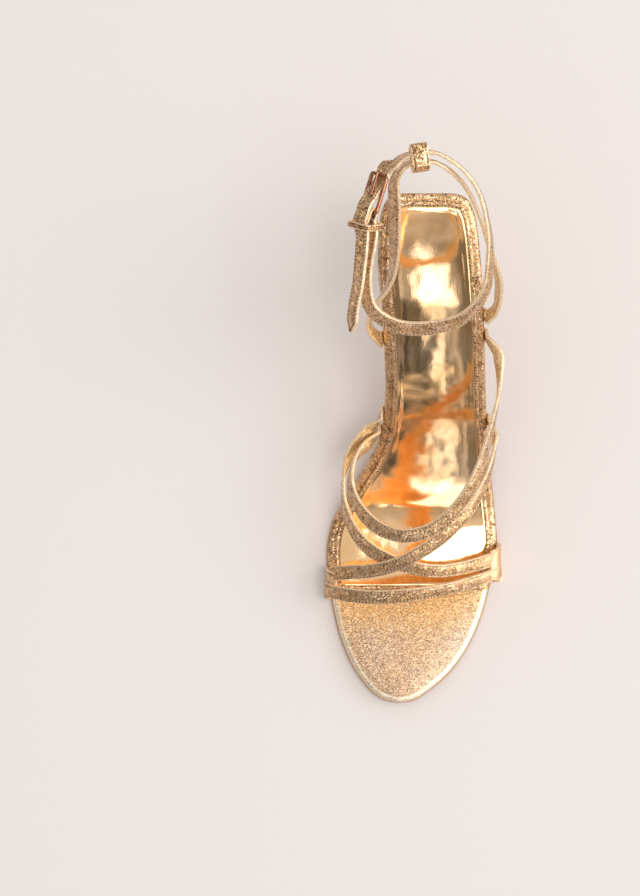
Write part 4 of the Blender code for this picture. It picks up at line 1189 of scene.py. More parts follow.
def slab(name, start, end, rings, count, lanes, dome=None):
    """A sheet that follows the board, by rings of (inset, height) from its bottom up; dome raises its top."""
    shares = np.linspace(0, 1, lanes + 2)[1:-1]
    points = []
    loops = []
    for inset, height in rings:
        inner, outer = slab_sides(start, end, inset, count)
        back = inner[-1] + shares[:, None] * (outer[-1] - inner[-1])
        front = outer[0] + shares[:, None] * (inner[0] - outer[0])
        loop = np.concatenate([inner, back, outer[::-1], front])
        loops.append(len(points) + np.arange(len(loop)))
        points.extend(on_bed(loop[:, 0], loop[:, 1], height))
    faces = []
    size = len(loops[0])
    for low, high in zip(loops, loops[1:]):
        for k in range(size):
            after = (k + 1) % size
            faces.append((low[k], low[after], high[after], high[k]))
    for loop, (inset, height) in ((loops[0], rings[0]), (loops[-1], rings[-1])):
        inner, outer = slab_sides(start, end, inset, count)
        rows = [[loop[k]] for k in range(count)]
        for k in range(count):
            if k in (0, count - 1):
                rows[k].extend(loop[count:count + lanes] if k else loop[:2 * count + lanes - 1:-1])
            else:
                across = inner[k] + shares[:, None] * (outer[k] - inner[k])
                heights = np.full(lanes, height)
                if dome and loop is loops[-1]:
                    from_end = min(k, count - 1 - k) * (end - start) * LENGTH / count
                    heights = heights + dome(across, shares, from_end)
                rows[k].extend(len(points) + np.arange(lanes))
                points.extend(on_bed(across[:, 0], across[:, 1], heights))
            rows[k].append(loop[count + lanes + count - 1 - k])
        for low, high in zip(rows, rows[1:]):
            for k in range(lanes + 1):
                face = (low[k], low[k + 1], high[k + 1], high[k])
                faces.append(face[::-1] if loop is loops[-1] else face)
    depth = np.full(len(points), 0.01)
    for loop, (inset, _) in zip(loops, rings):
        depth[loop] = 0.0 if callable(inset) else inset
    return solid(name, points, faces, {"inset": depth})


# Cutters and joins


def pocket(name, side, along, slant, width):
    """The room that a tucked end takes in the outsole, open at its edge."""
    (x, y), out = edge_frame(side, along, width)
    beside = CLEARANCE + STRAP / 2
    low = BOARD + CLEARANCE + STRAP_END + CLEARANCE
    high = BOARD + 0.5 * CLEARANCE
    ways = np.array([0.0035, 0.0, -0.5 * TUCK_IN, -TUCK_IN - CLEARANCE])
    y = y + ways * out[1] + slant * (beside - ways)
    spots = on_bed(x + ways * out[0], y, np.full(4, -(low + high) / 2))
    wide = (width + 2 * CLEARANCE + 3 * abs(slant) * beside) / 2
    _, face, side = frames(spots, -bed_up(y))
    deep = (low - high) / 2
    corners = ((-wide, -deep), (-wide, deep), (wide, deep), (wide, -deep))
    return tube(name, np.stack([spots + x * side + z * face for x, z in corners], axis=1))


def rounded_rectangle(half_a, half_b, corner, steps):
    """Points round a rectangle with round corners, each with the way out there, in its own two directions."""
    made = []
    for a, b, first in ((1, 1, 0), (-1, 1, 90), (-1, -1, 180), (1, -1, 270)):
        for turn in np.radians(first + np.linspace(0, 90, steps)):
            c = math.cos(turn)
            s = math.sin(turn)
            made.append((a * (half_a - corner) + corner * c, b * (half_b - corner) + corner * s, c, s))
    return np.array(made)


def proud(along):
    """Inset of the outsole's edge from the board's: negative at the toe, where it stands out."""
    return np.interp(along, [0.30, 0.48], [-OUTSOLE_PROUD, OUTSOLE_SHY])


def softened(share):
    """The same further in, by a share of the edge's softening."""
    return lambda along: proud(along) + share * SOLE_EDGE


# Sewing

seams = []


def sew(path, facing, keep):
    """Notes a row of stitches along each edge of a strap's outer face, where keep is true."""
    path, facing = path[keep], facing[keep]
    _, face, side = frames(path, facing)
    for way in (-1, 1):
        line = path + way * (STRAP_WIDTH / 2 - STITCH_INSET) * side + SEAM_LEVEL * STRAP / 2 * face
        seams.append((line, face))


def stitches_tree():
    """Geometry Nodes: a stitch at each step along the seams, lying along them."""
    tree = bpy.data.node_groups.new("sewn_rows", "GeometryNodeTree")
    tree.interface.new_socket("Seams", in_out="INPUT", socket_type="NodeSocketGeometry")
    for label, default in (("Step", 0.0016), ("Length", 0.0012), ("Thickness", 0.0004)):
        made = tree.interface.new_socket(label, in_out="INPUT", socket_type="NodeSocketFloat")
        made.default_value = default
    made = tree.interface.new_socket("Finish", in_out="INPUT", socket_type="NodeSocketMaterial")
    tree.interface.new_socket("Stitches", in_out="OUTPUT", socket_type="NodeSocketGeometry")
    pen = Socket(tree)
    group = tree.nodes.new("NodeGroupInput")
    rows, step, length, thickness, finish = (Socket(tree, group.outputs[k]) for k in range(5))
    out = pen.node("GeometryNodeInputNamedAttribute", {"data_type": "FLOAT_VECTOR"}, {0: "out"})
    curve_rows = pen.node("GeometryNodeMeshToCurve", None, {0: rows})
    count = pen.node("GeometryNodeResampleCurve", {"mode": "LENGTH"}, {"Curve": curve_rows, "Length": step})
    tangent = pen.node("GeometryNodeInputTangent")
    turn = pen.node("FunctionNodeAlignRotationToVector", {"axis": "X"}, {"Vector": tangent})
    pivot = {"axis": "Z", "pivot_axis": "X"}
    turn = pen.node("FunctionNodeAlignRotationToVector", pivot, {"Rotation": turn, "Vector": out})
    bead = pen.node("GeometryNodeMeshUVSphere", None, {"Segments": 6, "Rings": 5, "Radius": 0.5})
    scale = pen.node("ShaderNodeCombineXYZ", None, {0: length, 1: thickness, 2: thickness})
    sockets = {"Points": count, "Instance": bead, "Rotation": turn, "Scale": scale}
    beads = pen.node("GeometryNodeInstanceOnPoints", None, sockets)
    real = pen.node("GeometryNodeRealizeInstances", None, {0: beads})
    shaded = pen.node("GeometryNodeSetShadeSmooth", None, {0: real})
    dressed = pen.node("GeometryNodeSetMaterial", None, {"Geometry": shaded, "Material": finish})
    last = tree.nodes.new("NodeGroupOutput")
    tree.links.new(dressed.socket, last.inputs[0])
    return tree


def sewn_rows(name, lines, step, length, thickness):
    """One piece with every stitch of the given lines."""
    points = np.concatenate([line for line, _ in lines])
    outs = np.concatenate([out for _, out in lines])
    edges = []
    first = 0
    for line, _ in lines:
        edges += [(first + k, first + k + 1) for k in range(len(line) - 1)]
        first += len(line)
    mesh = bpy.data.meshes.new(name)
    mesh.from_pydata(points.tolist(), edges, [])
    ways = mesh.attributes.new("out", "FLOAT_VECTOR", "POINT")
    ways.data.foreach_set("vector", outs.astype(np.float32).ravel())
    made = add_object(name, mesh)
    modifier = made.modifiers.new("sewn_rows", "NODES")
    modifier.node_group = stitches_tree()
    values = {"Step": step, "Length": length, "Thickness": thickness, "Finish": finish_for("thread")}
    for item in modifier.node_group.interface.items_tree:
        if item.in_out == "INPUT" and item.name in values:
            modifier[item.identifier] = values[item.name]
    return as_plain_mesh(made)


# Pieces


def fine_track(parts, spacing=0.0011):
    """A track through parts' control rows in even fine steps: path, facing, thickness."""
    return strand([(rows, max(4, int(gone_along(rows[:, :3])[-1] / spacing))) for rows in parts])


def toe_dome(plan, shares, from_end):
    """The toe part's leather is slightly domed ahead of the sock."""
    front = np.clip((place(SOCK_FROM) - plan[:, 1]) / TOE_DOME_REACH, 0, 1)
    return TOE_DOME * min(1.0, from_end / 0.012) * front * (1 - (2 * shares - 1) ** 2) ** 0.7


def sock_dome(plan, shares, from_end):
    """The padding's rise: crowned, level at its rim, with dents where the foam gives."""
    ease = min(1.0, from_end / SOCK_EASE)
    rise = SOCK_CROWN * ease * (1 - (2 * shares - 1) ** 2) ** 0.6
    along = share_at(plan[:, 1])
    for at, side, long, wide, deep in DENTS:
        ahead = (along - at) * LENGTH / long
        beside = (plan[:, 0] / BALL_WIDTH - side) * BALL_WIDTH / wide
        rise = rise - deep * ease * np.exp(-(ahead**2 + beside**2))
    return rise


def size_property(name, description, default):
    return FloatProperty(
        name=name, description=description, default=default, subtype="DISTANCE", unit="LENGTH"
    )


class SandalSizes(bpy.types.PropertyGroup):
    """Sizes that a user would change."""

    stitch_step: size_property("Stitch step", "Distance from stitch to stitch", 0.0016)
    stitch_length: size_property("Stitch length", "Length of one stitch", 0.0011)
    thread: size_property("Thread", "Thickness of the thread", 0.00042)


def colour_property(name, description, default):
    return FloatVectorProperty(
        name=name, description=description, default=default, size=3, min=0.0, max=1.0, subtype="COLOR"
    )


class SandalColours(bpy.types.PropertyGroup):
    """Colours that a user would change."""

    gold: colour_property("Gold", "Foil of the straps, rim and heel", (0.81, 0.52, 0.295))
    gold_deep: colour_property("Deep gold", "Darker patches of the foil", (0.69, 0.41, 0.19))
    gold_pale: colour_property("Pale gold", "Foil cells that catch the light", (0.97, 0.82, 0.64))
    hole: colour_property("Needle hole", "Shade in the sewing line", (0.10, 0.045, 0.015))
    crack: colour_property("Crack", "Ground that shows in the foil's cracks", (0.17, 0.075, 0.024))
    edge: colour_property("Edge paint", "Painted edges of the straps", (0.90, 0.66, 0.44))
    lining: colour_property("Lining", "Smooth inner face of the straps", (1.0, 0.79, 0.47))
    lining_deep: colour_property("Deep lining", "Darker patches of the lining", (0.96, 0.67, 0.33))
    toe: colour_property("Toe leather", "Leather under the toes", (0.52, 0.36, 0.235))
    toe_deep: colour_property("Deep toe leather", "Its darker patches", (0.66, 0.37, 0.13))
    toe_crease: colour_property("Toe leather crease", "The grain's creases", (0.34, 0.18, 0.07))
    sock: colour_property("Sock", "Mirror foil of the sock", (0.94, 0.63, 0.36))
    sock_deep: colour_property("Deep sock", "Its darker patches", (0.88, 0.53, 0.25))
    outsole: colour_property("Outsole", "Tan sole leather", (0.55, 0.32, 0.16))
    outsole_worn: colour_property("Worn outsole", "Its scuffed patches", (0.62, 0.40, 0.23))
    rubber: colour_property("Top piece", "Hard rubber under the heel", (0.40, 0.28, 0.17))
    metal: colour_property("Metal", "Plating of the buckle", (0.46, 0.22, 0.13))
    metal_dark: colour_property("Dark metal", "Its rubbed patches", (0.28, 0.12, 0.07))
    thread: colour_property("Thread", "Sewing thread", (0.88, 0.66, 0.42))
    floor: colour_property("Floor", "Paper under the shoe", (0.900, 0.845, 0.820))


class SandalOperator:
    """What every builder of a piece shares."""

    bl_options = {"REGISTER", "UNDO"}


class SANDAL_OT_sole(SandalOperator, bpy.types.Operator):
    """Build the outsole, the board with its rim, and the padded sock"""

    bl_idname = "sandal.sole"
    bl_label = "Sole and Sock"

    def execute(self, context):
        top = -BOARD - CLEARANCE
        rings = [
            (softened(1.4), top - OUTSOLE),
            (softened(0.5), top - OUTSOLE + 0.2 * SOLE_EDGE),
            (softened(0.1), top - OUTSOLE + 0.6 * SOLE_EDGE),
            (proud, top - OUTSOLE + 1.2 * SOLE_EDGE),
            (proud, top - SOLE_EDGE),
            (softened(0.2), top - 0.3 * SOLE_EDGE),
            (softened(1.0), top),
        ]
        outsole = slab("outsole_leather", 0, BREAST_AT, rings, 110, 12)
        cut_away(outsole, [pocket("pocket_" + name, *TUCKS[name]) for name in TUCKS])
        finish_piece(outsole, "outsole", ["outsole"])

        edge = RIM_ROUND
        rings = [
            (BOARD_ARRIS, -BOARD),
            (0.3 * BOARD_ARRIS, -BOARD + 0.3 * BOARD_ARRIS),
            (0.0, -BOARD + BOARD_ARRIS),
            (0.0, -edge),
            (0.08 * edge, -0.62 * edge),
            (0.3 * edge, -0.3 * edge),
            (0.62 * edge, -0.08 * edge),
            (edge, 0.0),
            (1.5 * edge, 0.0),
        ]
        board = slab("board_rim_and_toe", 0, 1, rings, 190, 30, toe_dome)
        finish_piece(board, "rim", ["insole_board"])

        low = CLEARANCE
        groove = SOCK_STITCH
        rings = [
            (SOCK_INSET + SOCK_ARRIS, low),
            (SOCK_INSET, low + SOCK_ARRIS),
            (SOCK_INSET, low + 0.45 * SOCK),
            (SOCK_INSET + 0.0002, low + 0.68 * SOCK),
            (SOCK_INSET + 0.0006, low + 0.82 * SOCK),
            (SOCK_INSET + groove - 0.0004, low + 0.86 * SOCK),
            (SOCK_INSET + groove, low + 0.74 * SOCK),
            (SOCK_INSET + groove + 0.0003, low + 0.86 * SOCK),
            (SOCK_INSET + groove + 0.0009, low + 0.96 * SOCK),
            (SOCK_INSET + groove + 0.0020, low + SOCK),
        ]
        sock = slab("sock_padding", SOCK_FROM, 1, rings, 190, 44, sock_dome)
        finish_piece(sock, "sock", ["sock"])
        for side in outline(SOCK_FROM + 0.02, 1, SOCK_INSET + groove, 190):
            line = on_bed(side[:, 0], side[:, 1], low + 0.76 * SOCK)
            seams.append((line, bed_up(side[:, 1])))
        return {"FINISHED"}


class SANDAL_OT_heel(SandalOperator, bpy.types.Operator):
    """Build the covered heel and its top piece"""

    bl_idname = "sandal.heel"
    bl_label = "Heel"

    def execute(self, context):
        angles, middle, top_reach, tip, tip_reach = heel_plan(120)
        ways = np.stack([np.sin(angles), np.cos(angles)], axis=1)
        level = np.full(len(angles), -BOARD - CLEARANCE)
        top_plan = middle + top_reach[:, None] * ways
        top = on_bed(top_plan[:, 0], top_plan[:, 1], level)
        points = []
        sections = smooth(HEEL_SECTIONS, 90, 1)
        for drop, centre, wide, narrow in sections:
            plan = tip + centre * (middle - tip) + (wide * top_reach + narrow * tip_reach)[:, None] * ways
            height = top[:, 2] * (1 - drop) + (TOP_PIECE + CLEARANCE) * drop
            shift = (top[:, 1] - top_plan[:, 1]) * max(0.0, 1 - 4 * drop)
            points.append(np.stack([plan[:, 0], plan[:, 1] + shift, height], axis=1))
        size = len(angles)
        last = (len(sections) - 1) * size
        for share in (0.75, 0.5, 0.25):
            half = middle + share * top_reach[:, None] * ways
            points.append(on_bed(half[:, 0], half[:, 1], level))
        points = np.concatenate(points + [on_bed(*middle, level[0])[None]])
        faces = [tuple(range(last, last + size))[::-1]]
        caps = [0] + [last + size * (k + 1) for k in range(3)]
        for j in range(size):
            n = (j + 1) % size
            for outside, inside in zip(caps, caps[1:]):
                faces.append((outside + j, outside + n, inside + n, inside + j))
            faces.append((caps[-1] + j, caps[-1] + n, len(points) - 1))
            for k in range(len(sections) - 1):
                faces.append((k * size + j, (k + 1) * size + j, (k + 1) * size + n, k * size + n))
        finish_piece(solid("heel_cover", points, faces), "heel", ["heel"])

        foot = 1 - 2 * TOP_PIECE_ARRIS / TIP_WIDTH
        tip_rows = [(0.0, foot), (0.0002, foot + 0.5 * (1 - foot)), (TOP_PIECE_ARRIS, 1.0), (TOP_PIECE, 1.0)]
        sections = []
        for height, grown in tip_rows:
            plan = tip + grown * tip_reach[:, None] * ways
            sections.append(np.column_stack([plan, np.full(size, height)]))
        finish_piece(tube("top_piece_rubber", sections), "rubber", ["top_piece"])
        return {"FINISHED"}


def raised(path, facing, lifts):
    """Lifts a track off what it crosses: rows of (share along it, lift in strap thicknesses)."""
    share = share_along(path)
    table = np.array(lifts, float)
    return path + facing * (np.interp(share, table[:, 0], table[:, 1]) * STRAP)[:, None]


class SANDAL_OT_toe_straps(SandalOperator, bpy.types.Operator):
    """Build the toe strap, the two that cross over the toes, and the wide ends where they join"""

    bl_idname = "sandal.toe_straps"
    bl_label = "Toe Straps"

    def execute(self, context):
        pieces = []
        for name, rows in (("inner_band", INNER_JOIN), ("outer_band", OUTER_JOIN)):
            path, facing, thick = fine_track([tuck(*TUCKS[name])[::-1], on_foot(rows)], 0.0006)
            share = share_along(path)
            narrow = np.interp(share, [0.55, 1.0], [1.0, JOIN_TAPER])
            pieces.append(strap("join_" + name, path, facing, TUCKS[name][3] * narrow, thick))
        over, under = tuck(*TUCKS["over"]), tuck(*TUCKS["under"])[::-1]
        tracks = {
            "toe_strap": ([on_foot(TOE_STRAP)], [(0, 0.25), (0.5, 0.0), (1, 0.25)]),
            "crossing_over": ([on_foot(CROSS_OVER), over], [(0, 0.45), (0.1, 0.25), (0.2, 0), (1, 0)]),
            "crossing_under": ([under, on_foot(CROSS_UNDER)], [(0, 0), (0.85, 0), (1, 0.35)]),
        }
        for name, (parts, lifts) in tracks.items():
            path, facing, thick = fine_track(parts)
            path = raised(path, facing, lifts)
            pieces.append(strap(name, path, facing, STRAP_WIDTH, thick))
            sew(path, facing, thick > UNPARED * STRAP)
        for piece in pieces:
            finish_piece(piece, "strap", ["toe_straps"])
        return {"FINISHED"}


class SANDAL_OT_long_straps(SandalOperator, bpy.types.Operator):
    """Build the instep strap and the rear sling"""

    bl_idname = "sandal.long_straps"
    bl_label = "Instep Strap and Sling"

    def execute(self, context):
        rows = {
            "instep_strap": (on_foot(INSTEP_STRAP), "instep_inner", "instep_outer"),
            "rear_sling": (round_ankle(SLING), "sling_outer", "sling_inner"),
        }
        for node, (middle, start, end) in rows.items():
            path, facing, thick = fine_track([tuck(*TUCKS[start])[::-1], middle, tuck(*TUCKS[end])])
            finish_piece(strap(node + "_leather", path, facing, STRAP_WIDTH, thick), "strap", [node])
            sew(path, facing, thick > UNPARED * STRAP)
        return {"FINISHED"}


def punch(name, spot, way, out):
    """A round cutter through a strap."""
    across = np.cross(way, out)
    turns = np.arange(20) * math.pi / 10
    disc = np.array([spot + HOLE / 2 * turned_way(a, way, across) for a in turns])
    return tube(name, [disc - STRAP * out, disc + STRAP * out])


def prong(name, radius, facets=8, taper=1.0):
    """The buckle's pin, curled round the bar and resting on the far side of the frame."""
    curl = math.hypot(FRAME_WIRE, FRAME_THICK) / 2 + CLEARANCE + PRONG / 2
    rest = FRAME_THICK / 2 + CLEARANCE + PRONG / 2
    turns = np.radians(np.linspace(-140, 90, 12))
    rows = [(BAR_AT + curl * math.cos(a), curl * math.sin(a), 0, PRONG) for a in turns]
    for t in np.linspace(0.15, 1, 6):
        rows.append((BAR_AT * (1 - 2 * t) - PRONG_PAST * t, curl + (rest - curl) * t, 0, PRONG))
    path = smooth(by_buckle(rows)[:, :3], 60, 3) if facets > 8 else by_buckle(rows)[:, :3]
    tangent = unit(np.gradient(path, axis=0))
    across = np.broadcast_to(SIDEWAYS, tangent.shape)
    other = np.cross(tangent, across)
    path[0] -= tangent[0] * (radius - PRONG / 2)
    path[-1] += tangent[-1] * (radius - PRONG / 2)
    turns = np.arange(facets) * 2 * math.pi / facets
    size = (radius * np.interp(np.linspace(0, 1, len(path)), [0, 0.9, 1], [1, 1, taper]))[:, None]
    sections = np.stack([path + size * turned_way(a, across, other) for a in turns], axis=1)
    return tube(name, sections)


class SANDAL_OT_ankle_strap(SandalOperator, bpy.types.Operator):
    """Build the ankle strap with its punched holes and pointed end"""

    bl_idname = "sandal.ankle_strap"
    bl_label = "Ankle Strap"

    def execute(self, context):
        path, facing, thick = fine_track(ring_parts(), 0.0008)
        gone = gone_along(path)
        left = gone[-1] - gone
        pointed = np.interp(left, [0, POINT_LENGTH], [POINT_TIP, STRAP_WIDTH])
        width = np.where(left < POINT_LENGTH, pointed, STRAP_WIDTH)
        ankle = strap("ankle_strap_leather", path, facing, width, thick)
        tangent, face, _ = frames(path, facing)
        cutters = [prong("prong_slot", PRONG / 2 + CLEARANCE)]
        for k in range(HOLES):
            at = gone[-1] - FIRST_HOLE - k * HOLE_STEP
            here = [np.interp(at, gone, column) for column in np.hstack([path, tangent, face]).T]
            cutters.append(punch(f"hole_{k}", *np.reshape(here, (3, 3))))
        cut_away(ankle, cutters)
        finish_piece(ankle, "strap", ["ankle_strap"])
        sew(path, facing, (thick > UNPARED * STRAP) & (left > POINT_LENGTH + STITCH_INSET))
        return {"FINISHED"}


class SANDAL_OT_buckle(SandalOperator, bpy.types.Operator):
    """Build the buckle's frame and prong"""

    bl_idname = "sandal.buckle"
    bl_label = "Buckle"

    def execute(self, context):
        track = rounded_rectangle(BAR_AT, (WINDOW + FRAME_WIRE) / 2, FRAME_CORNER, 9)
        path = CENTRE + track[:, :1] * FORWARD + track[:, 1:2] * SIDEWAYS
        _, face, side = frames(path, np.broadcast_to(OUT, path.shape), closed=True)
        sections = []
        turns = np.arange(24) * math.pi / 12
        for a in turns:
            x = math.copysign(abs(math.cos(a)) ** WIRE_ROUNDNESS, math.cos(a)) * FRAME_WIRE / 2 + WIRE_OUT
            y = math.copysign(abs(math.sin(a)) ** WIRE_ROUNDNESS, math.sin(a)) * FRAME_THICK / 2
            sections.append(path + x * side + y * face)
        frame_piece = tube("buckle_frame_metal", np.stack(sections, axis=1), closed=True)
        finish_piece(frame_piece, "metal", ["buckle_frame"])
        finish_piece(prong("buckle_prong_metal", PRONG / 2, 20, 0.55), "metal", ["buckle_prong"])
        return {"FINISHED"}


def loop_track(spot, ahead, out, straps, size):
    """A flat closed track round the straps at spot. Size is its width, wall and outer slack."""
    width, wall, slack = size
    out = unit(out - ahead * out.dot(ahead))
    side = np.cross(ahead, out)
    corners = []
    for path, facings in straps:
        _, face, across = frames(path, facings)
        beside = np.abs((path - spot) @ ahead) < width / 2 + 4 * CLEARANCE
        near = beside & (np.linalg.norm(path - spot, axis=1) < 1.5 * STRAP_WIDTH)
        for s, t in ((-1, -1), (-1, 1), (1, -1), (1, 1)):
            corners.extend((path + s * STRAP_WIDTH / 2 * across + t * STRAP / 2 * face)[near] - spot)
    corners = np.array(corners)
    room = 1.5 * CLEARANCE + wall / 2
    low, high = (corners @ out).min() - room, (corners @ out).max() + room + slack
    left, right = (corners @ side).min() - room, (corners @ side).max() + room
    middle = spot + (low + high) / 2 * out + (left + right) / 2 * side
    track = rounded_rectangle((high - low) / 2, (right - left) / 2, 0.9 * wall, 7)
    path = middle + track[:, :1] * out + track[:, 1:2] * side
    return path, track[:, 2:3] * out + track[:, 3:4] * side


class SANDAL_OT_loops(SandalOperator, bpy.types.Operator):
    """Build the narrow loop beside the buckle and the keeper at the back"""

    bl_idname = "sandal.loops"
    bl_label = "Loop and Keeper"

    def execute(self, context):
        per_part = 160
        path, facing, _ = strand([(rows, per_part) for rows in ring_parts()])
        away = np.linalg.norm(path - (CENTRE + (BAR_AT + LOOP_AHEAD) * FORWARD), axis=1)
        first = np.argmin(away[:2 * per_part])
        last = np.argmin(away[2 * per_part:]) + 2 * per_part
        ahead = unit(path[first + 1] - path[first - 1])
        middle = (path[first] + path[last]) / 2
        loop = loop_track(middle, ahead, facing[last], [(path, facing)], (LOOP_WIDTH, LOOP_WALL, 0.0))
        piece = strap("strap_loop_leather", *loop, LOOP_WIDTH, LOOP_WALL, closed=True)
        finish_piece(piece, "strap", ["strap_loop"])

        sling, sling_facing, _ = strand([(round_ankle(SLING), 500)])
        back = np.argmax(path[:, 1] - 2 * np.abs(path[:, 0] - KEEPER_ASIDE))
        ahead = unit((path[back + 1] - path[back - 1]) * np.array([1, 1, 0]))
        size = (KEEPER_WIDTH, KEEPER_WALL, KEEPER_SLACK)
        straps = [(path, facing), (sling, sling_facing)]
        keeper = loop_track(path[back], ahead, np.array([0, 1.0, 0]), straps, size)
        piece = strap("heel_keeper_leather", *keeper, KEEPER_WIDTH, KEEPER_WALL, closed=True)
        finish_piece(piece, "strap", ["heel_keeper"])
        return {"FINISHED"}


class SANDAL_OT_stitches(SandalOperator, bpy.types.Operator):
    """Sew the straps and the sock"""

    bl_idname = "sandal.stitches"
    bl_label = "Stitches"

    def execute(self, context):
        sizes = context.scene.sandal_sizes
        made = sewn_rows("stitching", seams, sizes.stitch_step, sizes.stitch_length, sizes.thread)
        finish_piece(made, "thread")
        return {"FINISHED"}


# name, place, target, width, depth, power, colour: soft lights, in metres and watts. Place and target are
# in the shoe's frame.
LIGHTS = [
    ("key", (0.42, 0.02, 1.96), (0, 0.05, 0.02), 0.55, 0.70, 7.6, (1.0, 0.98, 0.96)),
    ("side", (1.25, 0.25, 1.15), (0, 0.05, 0.02), 0.9, 0.9, 4.0, (1.0, 0.98, 0.96)),
]

# way, outer, inner, colour: what shiny pieces mirror. Way points to the middle of a soft patch, outer and
# inner are the angles from it, in degrees, where it begins and where it is full.
PANES = [
    ((0.0, 0.0, 1.0), 34, 14, (0.85, 0.83, 0.80)),
    ((0.0, 0.85, 0.55), 50, 25, (0.90, 0.88, 0.84)),
    ((0.85, -0.10, 0.45), 44, 30, (3.5, 3.4, 3.3)),
    ((-0.92, -0.10, 0.38), 18, 10, (1.5, 1.45, 1.4)),
]
PANE_GROUND = (0.22, 0.205, 0.19)  # what is mirrored beside the patches and bands
HORIZON = (1.35, 1.28, 1.20)  # pale foot of the bands, near the level way

# aside, light: upright bands ahead of the toe, high up and low down. Aside is the way's x over its
# distance ahead.
BANDS = [
    (-0.34, 0.20),
    (-0.22, 0.95),
    (-0.15, 0.40),
    (-0.06, 0.62),
    (-0.03, 0.14),
    (0.005, 0.24),
    (0.020, 4.2),
    (0.075, 4.8),
    (0.085, 0.55),
    (0.105, 0.55),
    (0.115, 3.6),
    (0.165, 2.8),
    (0.200, 0.36),
    (0.340, 0.55),
]
LOW_BANDS = [
    (-0.34, 0.12),
    (-0.20, 0.34),
    (-0.14, 0.08),
    (-0.07, 0.10),
    (-0.05, 0.45),
    (-0.03, 0.08),
    (0.038, 0.10),
    (0.048, 3.0),
    (0.068, 2.4),
    (0.080, 0.16),
    (0.125, 0.12),
    (0.145, 1.10),
    (0.190, 0.22),
    (0.340, 0.28),
]
ROOM_LIGHT = (0.690, 0.680, 0.672)  # even light for everything that isn't mirrored

CAMERA_GROUND = (-0.0445, 0.0509)
CAMERA_HEIGHT = 1.1
PIXELS_PER_METRE = 2100.0
FRAME_PIXELS = (640, 896)


def banded(pen, aside, bands):
    """Upright bands of light at the given aside, scaled into a ramp's range and back."""
    first, last = bands[0][0], bands[-1][0]
    brightest = max(light for _, light in bands)
    stops = [((at - first) / (last - first), (light / brightest,) * 3) for at, light in bands]
    along = pen.node("ShaderNodeMapRange", None, {0: aside, 1: first, 2: last, 3: 0.0, 4: 1.0})
    made = pen.node("ShaderNodeValToRGB", {"stops": stops}, {0: along})
    return pen.vectors("SCALE", made, brightest)


def studio():
    """The room: even pale light for matt surfaces, and patches and bands for shiny ones to mirror."""
    world = bpy.data.worlds.new("studio")
    world.use_nodes = True
    tree = world.node_tree
    pen = Socket(tree)
    way = pen.node("ShaderNodeTexCoord", None, None, 0)
    x, y, z = (way.axis(k) for k in range(3))
    sheen = PANE_GROUND
    for middle, outer, inner, colour in PANES:
        near = pen.vectors("DOT_PRODUCT", way, Vector(middle).normalized(), 1)
        near = near.ramp(math.cos(math.radians(outer)), math.cos(math.radians(inner)))
        sheen = near.blend(sheen, colour)
    aside = pen.maths("DIVIDE", x, pen.maths("MAXIMUM", 0.0 - y, 0.05))
    bands = z.ramp(0.48, 0.56).blend(banded(pen, aside, LOW_BANDS), banded(pen, aside, BANDS))
    bands = z.ramp(0.11, 0.0).blend(bands, HORIZON)
    ahead = (0.0 - y).ramp(0.42, 0.62) * pen.maths("ABSOLUTE", aside).ramp(0.36, 0.28)
    sheen = ahead.blend(sheen, bands)
    mirrored = pen.node("ShaderNodeLightPath", None, None, 3)
    colour = mirrored.blend(ROOM_LIGHT, sheen)
    ground = tree.nodes["Background"]
    tree.links.new(colour.socket, ground.inputs["Color"])
    ground.inputs["Strength"].default_value = 1.0
    # Rough metal sees the patches and bands too when the room isn't sampled as a light of its own.
    world.cycles.sampling_method = "NONE"
    return world


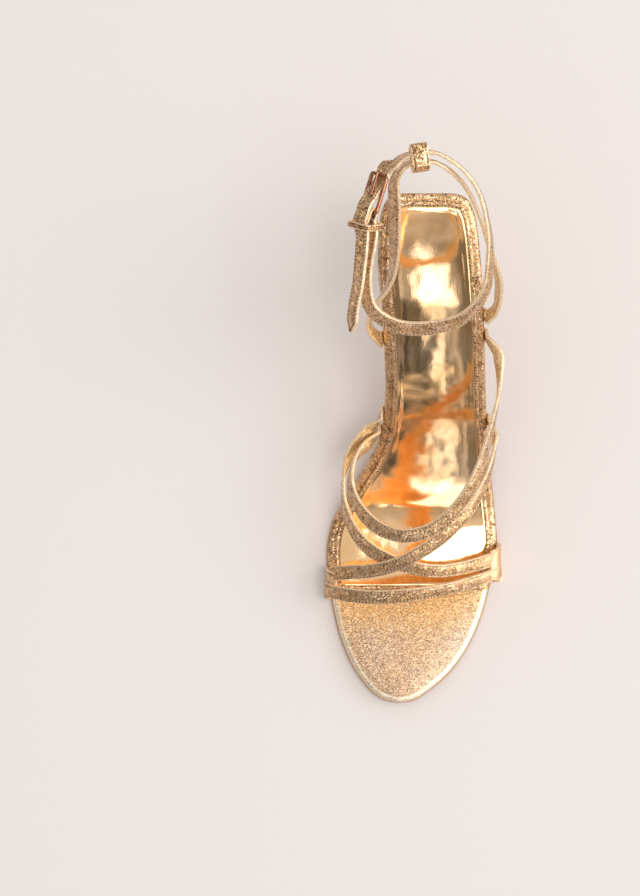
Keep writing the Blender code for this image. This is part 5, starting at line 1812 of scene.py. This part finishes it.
class SANDAL_OT_stage(SandalOperator, bpy.types.Operator):
    """Set up the floor, the soft lights and the camera"""

    bl_idname = "sandal.stage"
    bl_label = "Stage"

    def execute(self, context):
        scene = context.scene
        half = FLOOR_HALF
        mesh = bpy.data.meshes.new("floor")
        corners = [(-half, -half, 0), (half, -half, 0), (half, half, 0), (-half, half, 0)]
        mesh.from_pydata(corners, [], [(0, 1, 2, 3)])
        mesh.materials.append(floor_finish(scene.sandal_colours))
        add_object("floor", mesh)

        for name, spot, target, width, depth, power, colour in LIGHTS:
            data = bpy.data.lights.new(name, "AREA")
            data.shape = "RECTANGLE"
            data.size = width
            data.size_y = depth
            data.energy = power
            data.color = colour
            light = add_object(name, data)
            light.location = spot
            light.rotation_euler = (Vector(target) - Vector(spot)).to_track_quat("-Z", "Y").to_euler()
            light.visible_camera = False

        scene.world = studio()

        data = bpy.data.cameras.new("camera")
        data.sensor_fit = "AUTO"
        data.sensor_width = 36.0
        data.lens = data.sensor_width * PIXELS_PER_METRE * CAMERA_HEIGHT / max(FRAME_PIXELS)
        scene.camera = add_object("camera", data)
        scene.camera.location = (*CAMERA_GROUND, CAMERA_HEIGHT)
        scene.view_settings.view_transform = "Standard"
        return {"FINISHED"}


class SANDAL_PT_panel(bpy.types.Panel):
    """Lists the sandal's pieces and sizes"""

    bl_label = "Strappy Sandal"
    bl_idname = "SANDAL_PT_panel"
    bl_space_type = "VIEW_3D"
    bl_region_type = "UI"
    bl_category = "Sandal"

    def draw(self, context):
        column = self.layout.column()
        for operator in OPERATORS:
            column.operator(operator.bl_idname)
        for group in (context.scene.sandal_sizes, context.scene.sandal_colours):
            for name in group.bl_rna.properties.keys():
                if name not in ("rna_type", "name"):
                    column.prop(group, name)


OPERATORS = [
    SANDAL_OT_sole,
    SANDAL_OT_heel,
    SANDAL_OT_toe_straps,
    SANDAL_OT_long_straps,
    SANDAL_OT_ankle_strap,
    SANDAL_OT_buckle,
    SANDAL_OT_loops,
    SANDAL_OT_stitches,
    SANDAL_OT_stage,
]
CLASSES = [SandalSizes, SandalColours, *OPERATORS, SANDAL_PT_panel]


def register():
    for made in CLASSES:
        bpy.utils.register_class(made)
    bpy.types.Scene.sandal_sizes = PointerProperty(type=SandalSizes)
    bpy.types.Scene.sandal_colours = PointerProperty(type=SandalColours)


def unregister():
    del bpy.types.Scene.sandal_colours
    del bpy.types.Scene.sandal_sizes
    for made in reversed(CLASSES):
        bpy.utils.unregister_class(made)


def main():
    register()
    for operator in OPERATORS:
        category, name = operator.bl_idname.split(".")
        getattr(getattr(bpy.ops, category), name)()


if __name__ == "__main__":
    main()
